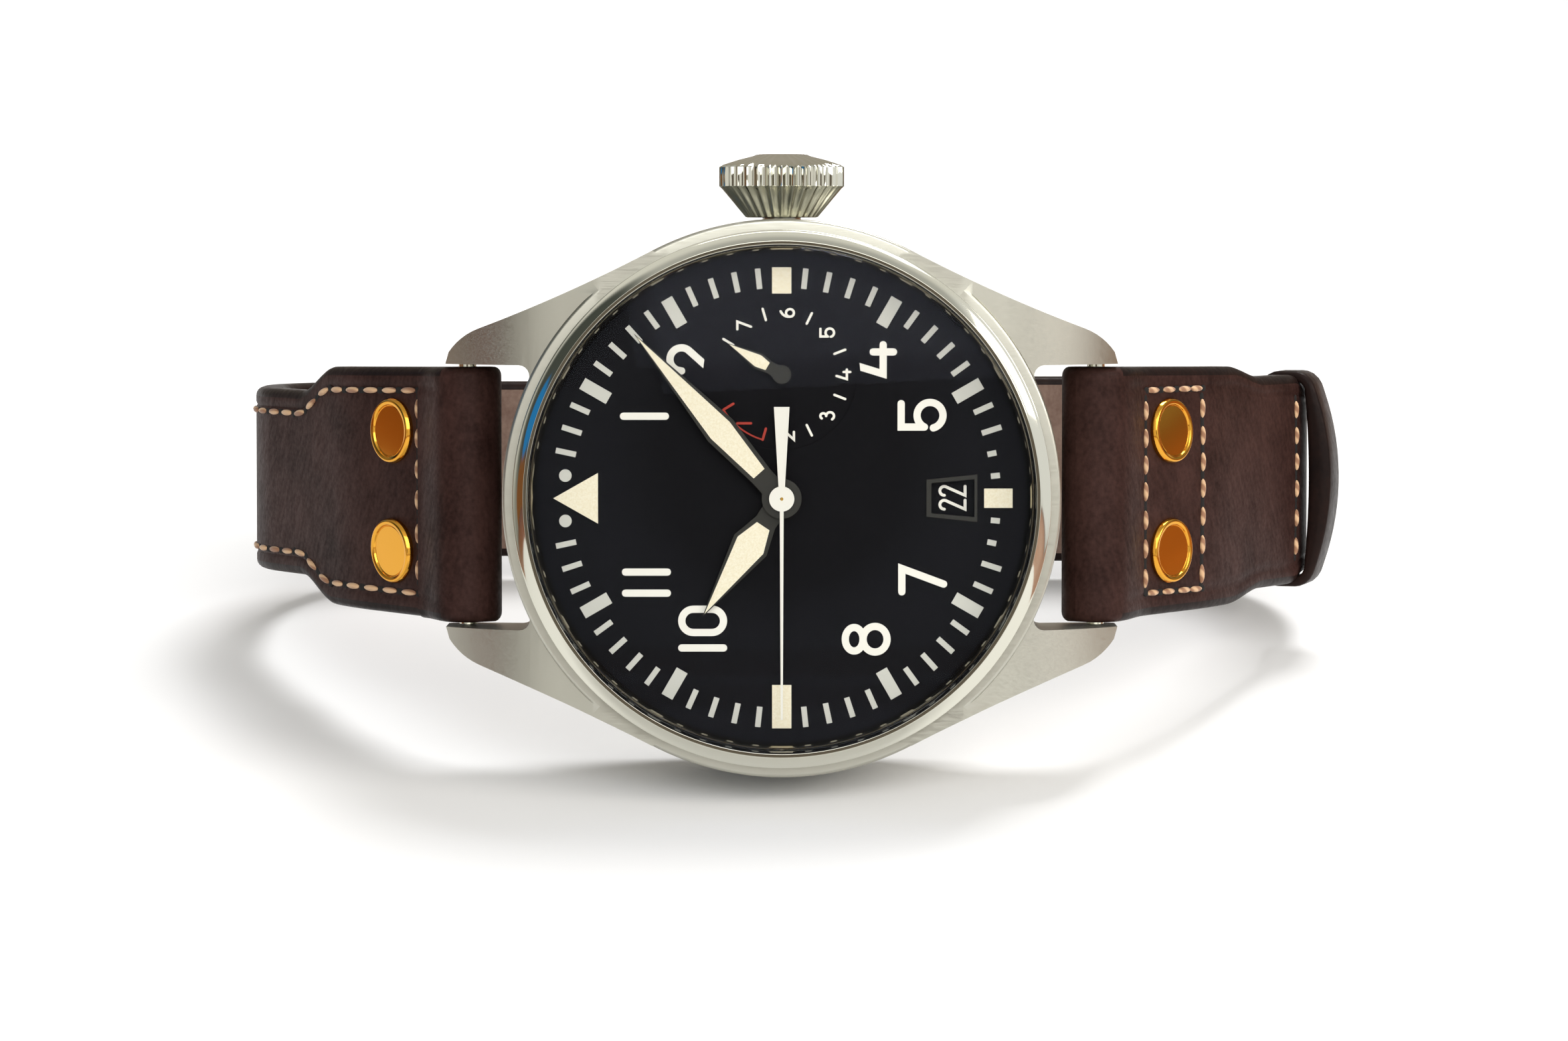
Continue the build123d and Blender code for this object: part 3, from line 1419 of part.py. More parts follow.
with BuildPart() as strap_upper:
    strap_half(strap_twelve_width)
keep("strap_upper", strap_upper)

with BuildPart() as six_half:
    strap_half(strap_six_width)
with BuildPart() as strap_lower:
    mirror(six_half.part, about=Plane.XZ)
keep("strap_lower", strap_lower)

with BuildPart() as rivet:
    rivets()
with BuildPart() as upper_rivets:
    for seat in rivet_seats:
        add(seat * rivet.part)
keep("upper_rivets", upper_rivets)

with BuildPart() as lower_rivets:
    mirror(upper_rivets.part, about=Plane.XZ)
keep("lower_rivets", lower_rivets)

# Keeper: a closed leather loop round the six o'clock half, where it turns down the side of the wrist
half_turn = (90 - side_slope) / 2
bend_reach = strap_upper_bend * tan(radians(half_turn))
bend_centre = (strap_side - strap_upper_bend, strap_knee - bend_reach)
keeper_half_angle = half_turn * keeper_angle_share
with BuildPart() as keeper_blank:
    inner_radius = strap_upper_bend - strap_thickness / 2 - keeper_gap
    outer_radius = strap_upper_bend + strap_thickness / 2 + keeper_gap
    with BuildSketch(Plane.XY):
        with Locations((strap_upper_bend, 0)):
            keeper_margin = keeper_gap + keeper_wall
            Rectangle(strap_thickness + 2 * keeper_margin, strap_six_width + 2 * keeper_margin)
            Rectangle(strap_thickness + 2 * keeper_gap, strap_six_width + 2 * keeper_gap, mode=Mode.SUBTRACT)
    revolve(axis=Axis.Y, revolution_arc=2 * keeper_half_angle)
keeper_start = radians(half_turn - keeper_half_angle)
keeper_turn = Plane(
    origin=(0, bend_centre[0], bend_centre[1]),
    x_dir=(0, cos(keeper_start), sin(keeper_start)),
    z_dir=(0, sin(keeper_start), -cos(keeper_start)),
)
with BuildPart() as strap_keeper:
    mirror(keeper_turn.location * keeper_blank.part, about=Plane.XZ)
keep("strap_keeper", strap_keeper)


# Folding clasp: base on the six o'clock half, cover on the twelve o'clock half, and the leaf that joins them
def sheet(width, near, far, height):
    """Add a flat sheet across the wrist between two places."""
    with Locations((0, (near + far) / 2, height)):
        Box(width, far - near, clasp_sheet)


def cross_bar(radius, width, place, height, mode=Mode.ADD):
    """Add or cut a cylinder that lies along the spring bars."""
    with Locations((0, place, height)):
        Cylinder(radius, width, rotation=(0, 90, 0), mode=mode)


hinge_height = (clasp_base_height + clasp_leaf_height) / 2
ear_inner = clasp_width / 2 - clasp_ear
with BuildPart() as clasp_base:
    sheet(
        clasp_width, -clasp_end + strap_thickness / 2 + clasp_gap,
        clasp_hinge - clasp_knuckle - clasp_gap, clasp_base_height
    )
    fillet(clasp_base.edges().filter_by(Axis.Z).group_by(Axis.Y)[-1], clasp_corner)
    sheet(clasp_leaf_width + 4 * clasp_corner, 0, clasp_hinge, clasp_base_height)
    cross_bar(clasp_knuckle, clasp_leaf_width + 4 * clasp_corner, clasp_hinge, hinge_height)
    with Locations((0, clasp_hinge, hinge_height)):
        knuckle_room = 2 * (clasp_knuckle + clasp_gap)
        Box(clasp_leaf_width + 2 * clasp_gap, knuckle_room, 4 * clasp_knuckle, mode=Mode.SUBTRACT)
    for way in (-1, 1):
        with BuildSketch(Plane.YZ.offset(way * (clasp_width - clasp_ear) / 2)):
            with BuildLine():
                Polyline(
                    (-clasp_end + 3 * clasp_corner, clasp_base_height), (-clasp_end, clasp_base_height),
                    (-clasp_end - clasp_knuckle, strap_under), (-clasp_end, strap_under - clasp_knuckle),
                    (-clasp_end + clasp_knuckle, strap_under), close=True,
                )
            make_face()
        extrude(amount=clasp_ear / 2, both=True)
    cross_bar(bar_pivot_radius + bar_play, clasp_width, -clasp_end, strap_under, Mode.SUBTRACT)
    cross_bar(clasp_pin, clasp_width, clasp_hinge, hinge_height, Mode.SUBTRACT)
keep("clasp_base", clasp_base)

with BuildPart() as clasp_leaf:
    leaf_start = hinge_height - clasp_knuckle + clasp_sheet / 2
    with BuildSketch(Plane.YZ):
        stroke(clasp_sheet, line((clasp_hinge, leaf_start), (clasp_pivot, clasp_cover_height)))
        with Locations((clasp_hinge, hinge_height), (clasp_pivot, clasp_cover_height)):
            Circle(clasp_knuckle)
        with Locations((clasp_hinge, hinge_height)):
            Circle(clasp_pin + bar_play, mode=Mode.SUBTRACT)
    extrude(amount=clasp_leaf_width / 2, both=True)
keep("clasp_leaf", clasp_leaf)

with BuildPart() as clasp_cover:
    sheet(clasp_width, clasp_cover_tail, clasp_rail, clasp_cover_height)
    fillet(clasp_cover.edges().filter_by(Axis.Z), clasp_corner)
    window_end = clasp_hinge + clasp_knuckle + clasp_gap
    window_start = clasp_cover_tail - overrun
    with Locations((0, (window_start + window_end) / 2, clasp_cover_height)):
        Box(clasp_window, window_end - window_start, clasp_sheet * 2, mode=Mode.SUBTRACT)
    for way in (-1, 1):
        with BuildSketch(Plane.YZ.offset(way * (clasp_width - clasp_ear) / 2)):
            with BuildLine():
                Polyline(
                    (clasp_rail - 3 * clasp_corner, clasp_cover_height), (clasp_end, clasp_cover_height),
                    (clasp_end + clasp_knuckle, strap_under), (clasp_end, strap_under + clasp_knuckle),
                    (clasp_end - clasp_knuckle, strap_under), close=True,
                )
            make_face()
        extrude(amount=clasp_ear / 2, both=True)
    cross_bar(bar_pivot_radius + bar_play, clasp_width, clasp_end, strap_under, Mode.SUBTRACT)
keep("clasp_cover", clasp_cover)

with BuildPart() as clasp_upper_bar:
    cross_bar(bar_radius, clasp_width - 2 * (clasp_ear + bar_play), clasp_end, strap_under)
    cross_bar(bar_pivot_radius, clasp_width, clasp_end, strap_under)
keep("clasp_upper_bar", clasp_upper_bar)

with BuildPart() as clasp_lower_bars:
    cross_bar(bar_radius, clasp_width - 2 * (clasp_ear + bar_play), -clasp_end, strap_under)
    cross_bar(bar_pivot_radius, clasp_width, -clasp_end, strap_under)
    cross_bar(clasp_pin, clasp_leaf_width + 4 * clasp_corner, clasp_hinge, hinge_height)
keep("clasp_lower_bars", clasp_lower_bars)

# Stand the watch up: three o'clock upward, the dial facing -Y and leaning back until the clasp's edge is down
case_foot = (case_radius, case_rear + case_edge)
clasp_foot = (clasp_width / 2, clasp_cover_height - clasp_sheet / 2)
lean = atan2(case_foot[0] - clasp_foot[0], case_foot[1] - clasp_foot[1])
leaning = Plane(origin=(0, 0, 0), x_dir=(0, sin(lean), cos(lean)), z_dir=(0, -cos(lean), sin(lean)))
boxes = [(leaning.location * piece).bounding_box() for piece in pieces.values()]
low = [min(tuple(box.min)[axis] for box in boxes) for axis in range(3)]
high = [max(tuple(box.max)[axis] for box in boxes) for axis in range(3)]
standing = Location((-(low[0] + high[0]) / 2, -(low[1] + high[1]) / 2, -low[2])) * leaning.location
for name, piece in pieces.items():
    placed = standing * piece
    placed.label = name
    export_step(placed, f"parts/{name}.step")
print(len(pieces), "pieces, leaning back", round(degrees(lean), 2), "degrees")
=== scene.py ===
"""Pilot watch on a white table: steel case, black dial, riveted brown strap."""

from math import atan2, cos, pi, radians, sin, sqrt, tan

import bpy
from mathutils import Matrix, Vector


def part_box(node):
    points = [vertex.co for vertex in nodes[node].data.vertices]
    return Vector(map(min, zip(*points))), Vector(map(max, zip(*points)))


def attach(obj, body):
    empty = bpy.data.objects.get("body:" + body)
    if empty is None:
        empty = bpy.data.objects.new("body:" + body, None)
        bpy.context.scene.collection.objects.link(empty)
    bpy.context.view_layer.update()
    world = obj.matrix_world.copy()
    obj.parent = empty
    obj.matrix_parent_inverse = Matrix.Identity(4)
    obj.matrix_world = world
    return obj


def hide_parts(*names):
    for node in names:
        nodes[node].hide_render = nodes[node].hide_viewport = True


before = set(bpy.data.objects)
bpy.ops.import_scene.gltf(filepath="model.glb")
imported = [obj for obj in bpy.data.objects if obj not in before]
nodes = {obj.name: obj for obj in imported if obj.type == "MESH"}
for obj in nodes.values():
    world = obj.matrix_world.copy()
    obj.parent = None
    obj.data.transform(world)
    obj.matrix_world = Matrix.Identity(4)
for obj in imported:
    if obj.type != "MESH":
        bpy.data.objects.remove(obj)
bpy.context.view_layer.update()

# The watch's own axes, in millimetres: x to three o'clock, y to twelve o'clock, z out of the dial
# It lies on its nine o'clock side and leans back until the clasp's edge is down, which is set in from the
# case's edge and lies behind it by these two sizes
MM = 0.001
CLASP_INSET = 12.8
CLASP_BEHIND = 49.55
LEAN = atan2(CLASP_INSET, CLASP_BEHIND)
THREE = Vector((0, sin(LEAN), cos(LEAN)))
TWELVE = Vector((-1, 0, 0))
OUTWARD = Vector((0, -cos(LEAN), sin(LEAN)))
# The frame gives the soft-iron cover's place, whose middle lies this far above the case back
COVER_HEIGHT = 2.7
cover_low, cover_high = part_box("iron_cover")
CASE_BACK = (cover_low + cover_high) / 2 - OUTWARD * COVER_HEIGHT * MM
STAND = Matrix.Translation(CASE_BACK) @ Matrix((THREE * MM, TWELVE * MM, OUTWARD * MM)).transposed().to_4x4()


# Bench tools


def only(piece):
    """Select one piece and nothing else."""
    bpy.ops.object.select_all(action="DESELECT")
    piece.select_set(True)
    bpy.context.view_layer.objects.active = piece


def all_in_edit(piece):
    """Open a piece's mesh with everything selected."""
    only(piece)
    bpy.ops.object.mode_set(mode="EDIT")
    bpy.ops.mesh.select_all(action="SELECT")


def clean(piece, gap=0.0005):
    """Merge doubled points and turn the faces outward."""
    all_in_edit(piece)
    bpy.ops.mesh.remove_doubles(threshold=gap)
    bpy.ops.mesh.normals_make_consistent(inside=False)
    bpy.ops.object.mode_set(mode="OBJECT")


def fitted(piece, modifier, **settings):
    """Apply one modifier to a piece."""
    only(piece)
    made = piece.modifiers.new(modifier.title(), modifier)
    for name, value in settings.items():
        setattr(made, name, value)
    bpy.ops.object.modifier_apply(modifier=made.name)


def outline(name, points, filled=False):
    """A closed outline through these points, bent from a circle."""
    bpy.ops.object.select_all(action="DESELECT")
    fill = "NGON" if filled else "NOTHING"
    bpy.ops.mesh.primitive_circle_add(vertices=len(points), radius=1, fill_type=fill)
    piece = bpy.context.object
    piece.name = piece.data.name = name
    for vertex, point in zip(piece.data.vertices, points):
        vertex.co = point
    return piece


def turned(name, profile, steps=128):
    """A ring or disc turned round the dial's axis from (radius, height) points."""
    piece = outline(name, [(radius, 0, height) for radius, height in profile])
    all_in_edit(piece)
    bpy.ops.mesh.spin(steps=steps, angle=2 * pi, center=(0, 0, 0), axis=(0, 0, 1))
    bpy.ops.object.mode_set(mode="OBJECT")
    clean(piece)
    return piece


def prism(name, points, reach):
    """A flat outline extruded by a reach."""
    piece = outline(name, points, filled=True)
    all_in_edit(piece)
    bpy.ops.mesh.extrude_region_move(TRANSFORM_OT_translate={"value": reach})
    bpy.ops.object.mode_set(mode="OBJECT")
    clean(piece)
    return piece


def carved(piece, tool, operation):
    """Join, cut or intersect a piece with a tool, which is used up."""
    fitted(piece, "BOOLEAN", object=tool, operation=operation, solver="EXACT")
    bpy.data.objects.remove(tool)


def joined(name, pieces):
    """Make several pieces one."""
    bpy.ops.object.select_all(action="DESELECT")
    for one in pieces:
        one.select_set(True)
    bpy.context.view_layer.objects.active = pieces[0]
    bpy.ops.object.join()
    piece = bpy.context.object
    piece.name = piece.data.name = name
    return piece


def wrapped(name, across, along, place, region=None):
    """A grid whose every point goes where place(across, along) says, both from 0 to 1."""
    bpy.ops.object.select_all(action="DESELECT")
    bpy.ops.mesh.primitive_grid_add(x_subdivisions=across, y_subdivisions=along, size=2)
    piece = bpy.context.object
    piece.name = piece.data.name = name
    if region:
        for face in piece.data.polygons:
            face.material_index = region((face.center.x + 1) / 2, (face.center.y + 1) / 2)
    for vertex in piece.data.vertices:
        vertex.co = place((vertex.co.x + 1) / 2, (vertex.co.y + 1) / 2)
    clean(piece)
    return piece


def rounded(points, segments=3):
    """A closed profile of (x, y, corner radius) points with its corners rounded."""
    path = []
    for index, (x, y, radius) in enumerate(points):
        corner = Vector((x, y))
        if not radius:
            path.append((x, y))
            continue
        before = (Vector(points[index - 1][:2]) - corner).normalized()
        after = (Vector(points[(index + 1) % len(points)][:2]) - corner).normalized()
        half = before.angle(after) / 2
        start = corner + before * radius / tan(half)
        end = corner + after * radius / tan(half)
        middle = corner + (before + after).normalized() * radius / sin(half)
        for step in range(segments + 1):
            spot = (start - middle).lerp(end - middle, step / segments).normalized() * radius + middle
            path.append(tuple(spot))
    return path


def tangent_arc(start, end, heading, steps):
    """Points of the arc that leaves start along heading and ends at end, and its last heading."""
    start, end, heading = Vector(start), Vector(end), Vector(heading).normalized()
    side = Vector((-heading.y, heading.x))
    chord = end - start
    radius = chord.length_squared / (2 * chord.dot(side))
    centre = start + side * radius
    turn = 2 * atan2(chord.dot(side), chord.dot(heading))
    points = []
    for step in range(1, steps + 1):
        points.append(tuple(centre + Matrix.Rotation(turn * step / steps, 2) @ (start - centre)))
    return points, Matrix.Rotation(turn, 2) @ heading


def finish(piece, body, material, slot, *replaced, sharp=35):
    """Smooth a piece, stand it up with the watch and hang it on its body."""
    materials = material if isinstance(material, (list, tuple)) else [material]
    for one in materials:
        piece.data.materials.append(one)
    only(piece)
    bpy.ops.object.shade_smooth_by_angle(angle=radians(sharp))
    piece.matrix_world = STAND @ piece.matrix_world
    bpy.ops.object.transform_apply(location=True, rotation=True, scale=True)
    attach(piece, body)
    if replaced:
        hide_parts(*replaced)
    return piece


# Finishes


def colour(code):
    """An sRGB hex colour as linear red, green, blue and alpha."""
    parts = [int(code[at:at + 2], 16) / 255 for at in (1, 3, 5)]
    return [part / 12.92 if part <= 0.04045 else ((part + 0.055) / 1.055) ** 2.4 for part in parts] + [1]


def add_node(material, kind, sockets=None, **settings):
    """Add a node to a material with its settings and its sockets' values or links."""
    node = material.node_tree.nodes.new(kind)
    for name, value in settings.items():
        setattr(node, name, value)
    for name, value in (sockets or {}).items():
        if isinstance(value, bpy.types.NodeSocket):
            material.node_tree.links.new(value, node.inputs[name])
        else:
            node.inputs[name].default_value = value
    return node


def new_finish(name, base, roughness, metallic=0.0, **more):
    """A material with one surface shader, ready for its pattern."""
    material = bpy.data.materials.new(name)
    material.use_nodes = True
    shader = material.node_tree.nodes["Principled BSDF"]
    shader.inputs["Base Color"].default_value = colour(base)
    shader.inputs["Roughness"].default_value = roughness
    shader.inputs["Metallic"].default_value = metallic
    for socket, value in more.items():
        shader.inputs[socket.replace("_", " ")].default_value = value
    return material, shader


def grain(material, size_mm, stretch=(1, 1, 1), turn=(0, 0, 0), detail=3):
    """Noise whose grains are this many millimetres wide, drawn out along x, y or z."""
    place = add_node(material, "ShaderNodeTexCoord")
    mapping = add_node(
        material, "ShaderNodeMapping",
        {"Vector": place.outputs["Object"], "Rotation": turn, "Scale": stretch}, vector_type="TEXTURE",
    )
    return add_node(
        material, "ShaderNodeTexNoise",
        {"Vector": mapping.outputs["Vector"], "Scale": 1 / (size_mm * MM), "Detail": detail},
    ).outputs["Fac"]


def ramp(material, fac, *stops):
    """A colour ramp through (place, colour or grey value) stops."""
    node = add_node(material, "ShaderNodeValToRGB", {"Fac": fac})
    while len(node.color_ramp.elements) < len(stops):
        node.color_ramp.elements.new(0.5)
    for element, (place, value) in zip(node.color_ramp.elements, stops):
        element.position = place
        element.color = colour(value) if isinstance(value, str) else (value, value, value, 1)
    return node.outputs["Color"]


def bump(material, shader, height, depth_mm, strength=1.0):
    """Raise a pattern by its depth in millimetres."""
    sockets = {"Height": height, "Distance": depth_mm * MM, "Strength": strength}
    link(material, add_node(material, "ShaderNodeBump", sockets).outputs["Normal"], shader.inputs["Normal"])


def link(material, output, socket):
    """Join two sockets of a material or of the world."""
    material.node_tree.links.new(output, socket)


def satin(name, base, roughness, size_mm, stretch, depth_mm=0.004):
    """Metal with fine lines of one direction."""
    material, shader = new_finish(name, base, roughness, 1.0)
    lines = grain(material, size_mm, stretch)
    shine = ramp(material, lines, (0.3, roughness - 0.06), (0.7, roughness + 0.08))
    link(material, shine, shader.inputs["Roughness"])
    bump(material, shader, lines, depth_mm, 0.35)
    return material


# Stainless steel, satin brushed from lug to lug: soft warm grey with fine straight lines
satin_steel = satin("stainless_steel_satin_brushed", "#b9b8ad", 0.34, 0.1, (16, 1, 1), depth_mm=0.007)
# Stainless steel, mirror polished: sharp reflections with a trace of unevenness
polished_steel, polished_shader = new_finish("stainless_steel_mirror_polished", "#d2d1c4", 0.07, 1.0)
bump(polished_steel, polished_shader, grain(polished_steel, 2.2, detail=1), 0.002, 0.25)
# Stainless steel, lapped: the flange's swelling face, warmer and a little duller than the bezel
flange_steel, flange_shader = new_finish("stainless_steel_lapped", "#b5ae9d", 0.1, 1.0)
bump(flange_steel, flange_shader, grain(flange_steel, 0.5, detail=1), 0.002, 0.2)
# Stainless steel, brushed lengthwise: the folding clasp's plates
clasp_steel = satin("stainless_steel_brushed_sheet", "#b9b6ae", 0.3, 0.12, (1, 1, 18))
# Brass, gilded and polished: the rivets' rims and caps
gilt_brass, gilt_shader = new_finish("brass_gilded_polished", "#e0a23c", 0.12, 1.0)
bump(gilt_brass, gilt_shader, grain(gilt_brass, 1.1, detail=2), 0.004, 0.3)
# Brass, rhodium plated and grained: the movement's plates
rhodium_plate = satin("brass_rhodium_plated_grained", "#b6b8ba", 0.32, 0.15, (1, 5, 1))
# Brass, gilded: the movement's wheels
wheel_brass = satin("brass_gilded_circular_grained", "#c9a253", 0.28, 0.12, (3, 1, 3))
# Steel, fine ground: stem, pinions, screws and the like
ground_steel = satin("steel_fine_ground", "#8f949c", 0.25, 0.1, (1, 1, 6))
# Soft iron, bare: the shield under the movement
soft_iron = satin("soft_iron_bare", "#7a7974", 0.45, 0.2, (1, 2, 1))
# Lacquered brass dial, matt black with a faint blue cast and a fine tooth
dial_black, dial_shader = new_finish("dial_lacquer_matt_black", "#0b0b10", 0.6, 0.0, Specular_IOR_Level=0.08)
bump(dial_black, dial_shader, grain(dial_black, 0.07, detail=2), 0.003, 0.3)
# Printing ink, pad printed white: the numerals and the reserve scale
white_print, white_shader = new_finish("printing_ink_white", "#f6f5ee", 0.5, 0.0, Specular_IOR_Level=0.2)
bump(white_print, white_shader, grain(white_print, 0.1, detail=2), 0.003, 0.4)
# Printing ink, thinner white that lets the black through: the minute track
grey_print, grey_shader = new_finish("printing_ink_thin_white", "#d2d3cd", 0.5, 0.0, Specular_IOR_Level=0.2)
bump(grey_print, grey_shader, grain(grey_print, 0.1, detail=2), 0.003, 0.4)
# Printing ink, signal red: the reserve's last day
red_print, red_shader = new_finish("printing_ink_red", "#b5301e", 0.5)
bump(red_print, red_shader, grain(red_print, 0.1, detail=2), 0.003, 0.4)
# Luminous paint, cream, with the grain of its pigment
cream_lume, lume_shader = new_finish("luminous_paint_cream", "#f1ead4", 0.6)
lume_grain = grain(cream_lume, 0.16, detail=4)
lume_tone = ramp(cream_lume, lume_grain, (0.35, "#f2e9cd"), (0.65, "#fbf5e0"))
link(cream_lume, lume_tone, lume_shader.inputs["Base Color"])
bump(cream_lume, lume_shader, lume_grain, 0.008, 0.5)
# Brass, black oxidised, satin: hand frames and the date window's frame; the oxide hides the metal's own shine
black_metal, black_shader = new_finish(
    "brass_black_oxidised_satin", "#2b2b28", 0.45, 0.0, Specular_IOR_Level=0.3,
)
bump(black_metal, black_shader, grain(black_metal, 0.08, (1, 5, 1)), 0.003, 0.3)
# Lacquer, white: the seconds hand
white_lacquer, lacquer_shader = new_finish("lacquer_white", "#f2f1ea", 0.35)
bump(white_lacquer, lacquer_shader, grain(white_lacquer, 0.3), 0.002, 0.3)
# Nitrile rubber, moulded black: the gaskets
black_rubber, rubber_shader = new_finish("nitrile_rubber_moulded", "#151515", 0.6)
bump(black_rubber, rubber_shader, grain(black_rubber, 0.1), 0.01, 0.4)


def leather(name, dark, light, roughness, grain_mm=0.35, sheen=0.1):
    """Cow leather with pores, fine wrinkles across the strap and a slight wax shine."""
    material, shader = new_finish(
        name, dark, roughness, Sheen_Weight=sheen, Sheen_Roughness=0.5, Specular_IOR_Level=0.08,
    )
    pores = grain(material, grain_mm, detail=5)
    wrinkles = grain(material, 0.5, (1, 1, 5), (LEAN, 0, 0), 4)
    clouds = grain(material, 6.0, detail=2)
    both = add_node(material, "ShaderNodeMix", {0: 0.5, 2: pores, 3: wrinkles}, data_type="FLOAT").outputs[0]
    tone = add_node(material, "ShaderNodeMix", {0: 0.45, 2: both, 3: clouds}, data_type="FLOAT").outputs[0]
    link(material, ramp(material, tone, (0.36, dark), (0.62, light)), shader.inputs["Base Color"])
    shine = ramp(material, both, (0.35, roughness + 0.08), (0.65, roughness - 0.08))
    link(material, shine, shader.inputs["Roughness"])
    bump(material, shader, both, 0.05, 0.6)
    return material


# Cow leather, dark chocolate, waxed: pores, wrinkles and a soft shine
strap_leather = leather("cow_leather_waxed_chocolate", "#241411", "#3f2a26", 0.5, sheen=0.0)
# The same leather's cut edge, burnished near black and smoother; the keeper takes it too, its near black
# partly its painted edge and partly painted shade, as the loop lies in shade at the strap's bend
edge_and_keeper_shade = leather("cow_leather_burnished_edge_and_keeper_shade", "#17100f", "#241815", 0.4, 0.5, 0.0)
# Lining leather, undyed: greyish brown and dull
strap_lining = leather("lining_leather_undyed", "#69534a", "#857064", 0.62, 0.4, 0.2)
# Linen thread, waxed: tan with darker plies
tan_thread, thread_shader = new_finish("linen_thread_waxed_tan", "#b98d68", 0.6, Sheen_Weight=0.2)
# A diagonal wave of scale 1 repeats every 2 pi / 10 along each axis
PLY_PITCH = 1.3854
WAVE_REPEAT = 2 * pi / 10
thread_place = add_node(tan_thread, "ShaderNodeTexCoord").outputs["Object"]
plies = add_node(
    tan_thread, "ShaderNodeTexWave",
    {"Vector": thread_place, "Scale": WAVE_REPEAT / (PLY_PITCH * MM)},
    bands_direction="DIAGONAL",
).outputs["Fac"]
ply_tone = ramp(tan_thread, plies, (0.2, "#94694a"), (0.8, "#cfa981"))
link(tan_thread, ply_tone, thread_shader.inputs["Base Color"])
bump(tan_thread, thread_shader, plies, 0.05, 0.6)
# Painted shade of the awl holes the thread goes through: near-black dots where the holes' shadow falls on raw
# leather
painted_hole_shade, hole_shader = new_finish("leather_painted_hole_shade", "#0b0706", 0.9)
bump(painted_hole_shade, hole_shader, grain(painted_hole_shade, 0.2), 0.02)

# Sapphire, polished, coated against reflections: clear, with a faint cool glance
sapphire = bpy.data.materials.new("sapphire_polished_coated")
sapphire.use_nodes = True
sapphire.node_tree.nodes.remove(sapphire.node_tree.nodes["Principled BSDF"])
clear = add_node(sapphire, "ShaderNodeBsdfTransparent", {"Color": colour("#fdfdfc")})
glance = add_node(sapphire, "ShaderNodeBsdfGlossy", {"Color": colour("#c9d2e6"), "Roughness": 0.03})
edge_on = add_node(sapphire, "ShaderNodeFresnel", {"IOR": 1.13})
coated = add_node(
    sapphire, "ShaderNodeMixShader",
    {0: edge_on.outputs["Fac"], 1: clear.outputs["BSDF"], 2: glance.outputs["BSDF"]},
)
link(sapphire, coated.outputs["Shader"], sapphire.node_tree.nodes["Material Output"].inputs["Surface"])

FINISHES = {
    satin_steel: "mid_case case_back crown_tube",
    polished_steel: "bezel crown dial_flange lug_spring_bars",
    clasp_steel: "clasp_base clasp_leaf clasp_cover clasp_upper_bar clasp_lower_bars",
    gilt_brass: "upper_rivets lower_rivets",
    rhodium_plate: "movement_ring main_plate train_bridge balance_cock winding_rotor",
    wheel_brass: "barrel center_wheel third_wheel fourth_wheel balance_wheel minute_wheel hour_wheel "
    "crown_wheel",
    ground_steel: "bridge_screws escape_wheel pallet_fork hairspring rotor_bearing cannon_pinion "
    "winding_pinion winding_stem ratchet_wheel",
    soft_iron: "iron_cover",
    dial_black: "dial date_disc",
    white_print: "dial_numerals date_numerals reserve_scale",
    grey_print: "minute_track",
    red_print: "reserve_low_mark",
    cream_lume: "hour_markers hour_hand_lume minute_hand_lume reserve_hand_lume",
    black_metal: "hour_hand minute_hand reserve_hand date_window_frame",
    white_lacquer: "seconds_hand",
    black_rubber: "case_back_gasket crown_gasket crystal_gasket",
    sapphire: "crystal",
    strap_leather: "strap_upper strap_lower strap_keeper",
}
for finish_of, names in FINISHES.items():
    for name in names.split():
        for holder in nodes[name].material_slots:
            holder.material = finish_of


# Case: a drum with four lugs

CASE_RADIUS = 23.1
CASE_REAR = 1.8
CASE_FRONT = 12.2
HALF_GAP = 11.0
LUG_ROOT_TURN = radians(27.56)
FLANK_END = (14.0, 25.2)
LUG_REACH = 28.1
LUG_LOW = 0.7
LUG_DEPTH = 12.0
PAST_LUG = 26.0
SHOULDER_START = (18.0, 11.6)
FILLET = 0.9
EDGE_BEVEL = 0.28
BORE_RADIUS = 20.6
SEAT_RADIUS = 21.15
SEAT_HEIGHT = 10.95
PAST_FRONT = 14.0
ROUND = 192

lug_root = (CASE_RADIUS * cos(LUG_ROOT_TURN), CASE_RADIUS * sin(LUG_ROOT_TURN))
flank, flank_heading = tangent_arc(lug_root, FLANK_END, (-lug_root[1], lug_root[0]), 14)
tip = tangent_arc(FLANK_END, (12.0, 27.8), flank_heading, 6)[0]
fillet_x = HALF_GAP - FILLET
fillet_y = sqrt((CASE_RADIUS + FILLET) ** 2 - fillet_x ** 2)
fillet_end = atan2(-fillet_y, -fillet_x) + 2 * pi
crotch = []
for step in range(7):
    turn = -(2 * pi - fillet_end) * step / 6
    crotch.append((fillet_x + FILLET * cos(turn), fillet_y + FILLET * sin(turn)))
plan = [lug_root, *flank, *tip, (HALF_GAP, LUG_REACH), *crotch, (9.0, 19.0), (15.0, 0.0)]
side = tangent_arc(SHOULDER_START, (LUG_REACH, 6.0), (1, -0.16), 16)[0]
profile = [
    (0.0, CASE_FRONT), (15.0, CASE_FRONT), SHOULDER_START, *side, (LUG_REACH, 1.7), (27.9, 1.3), (27.5, 1.1),
    (26.4, 0.8), (19.0, CASE_REAR), (0.0, CASE_REAR),
]


def lug(name):
    """One lug: its plan, cut to its curve seen from the side."""
    piece = prism(name, [(x, y, LUG_LOW) for x, y in plan], (0, 0, LUG_DEPTH))
    shape = prism("lug_side", [(0.0, y, z) for y, z in profile], (PAST_LUG, 0, 0))
    carved(piece, shape, "INTERSECT")
    return piece


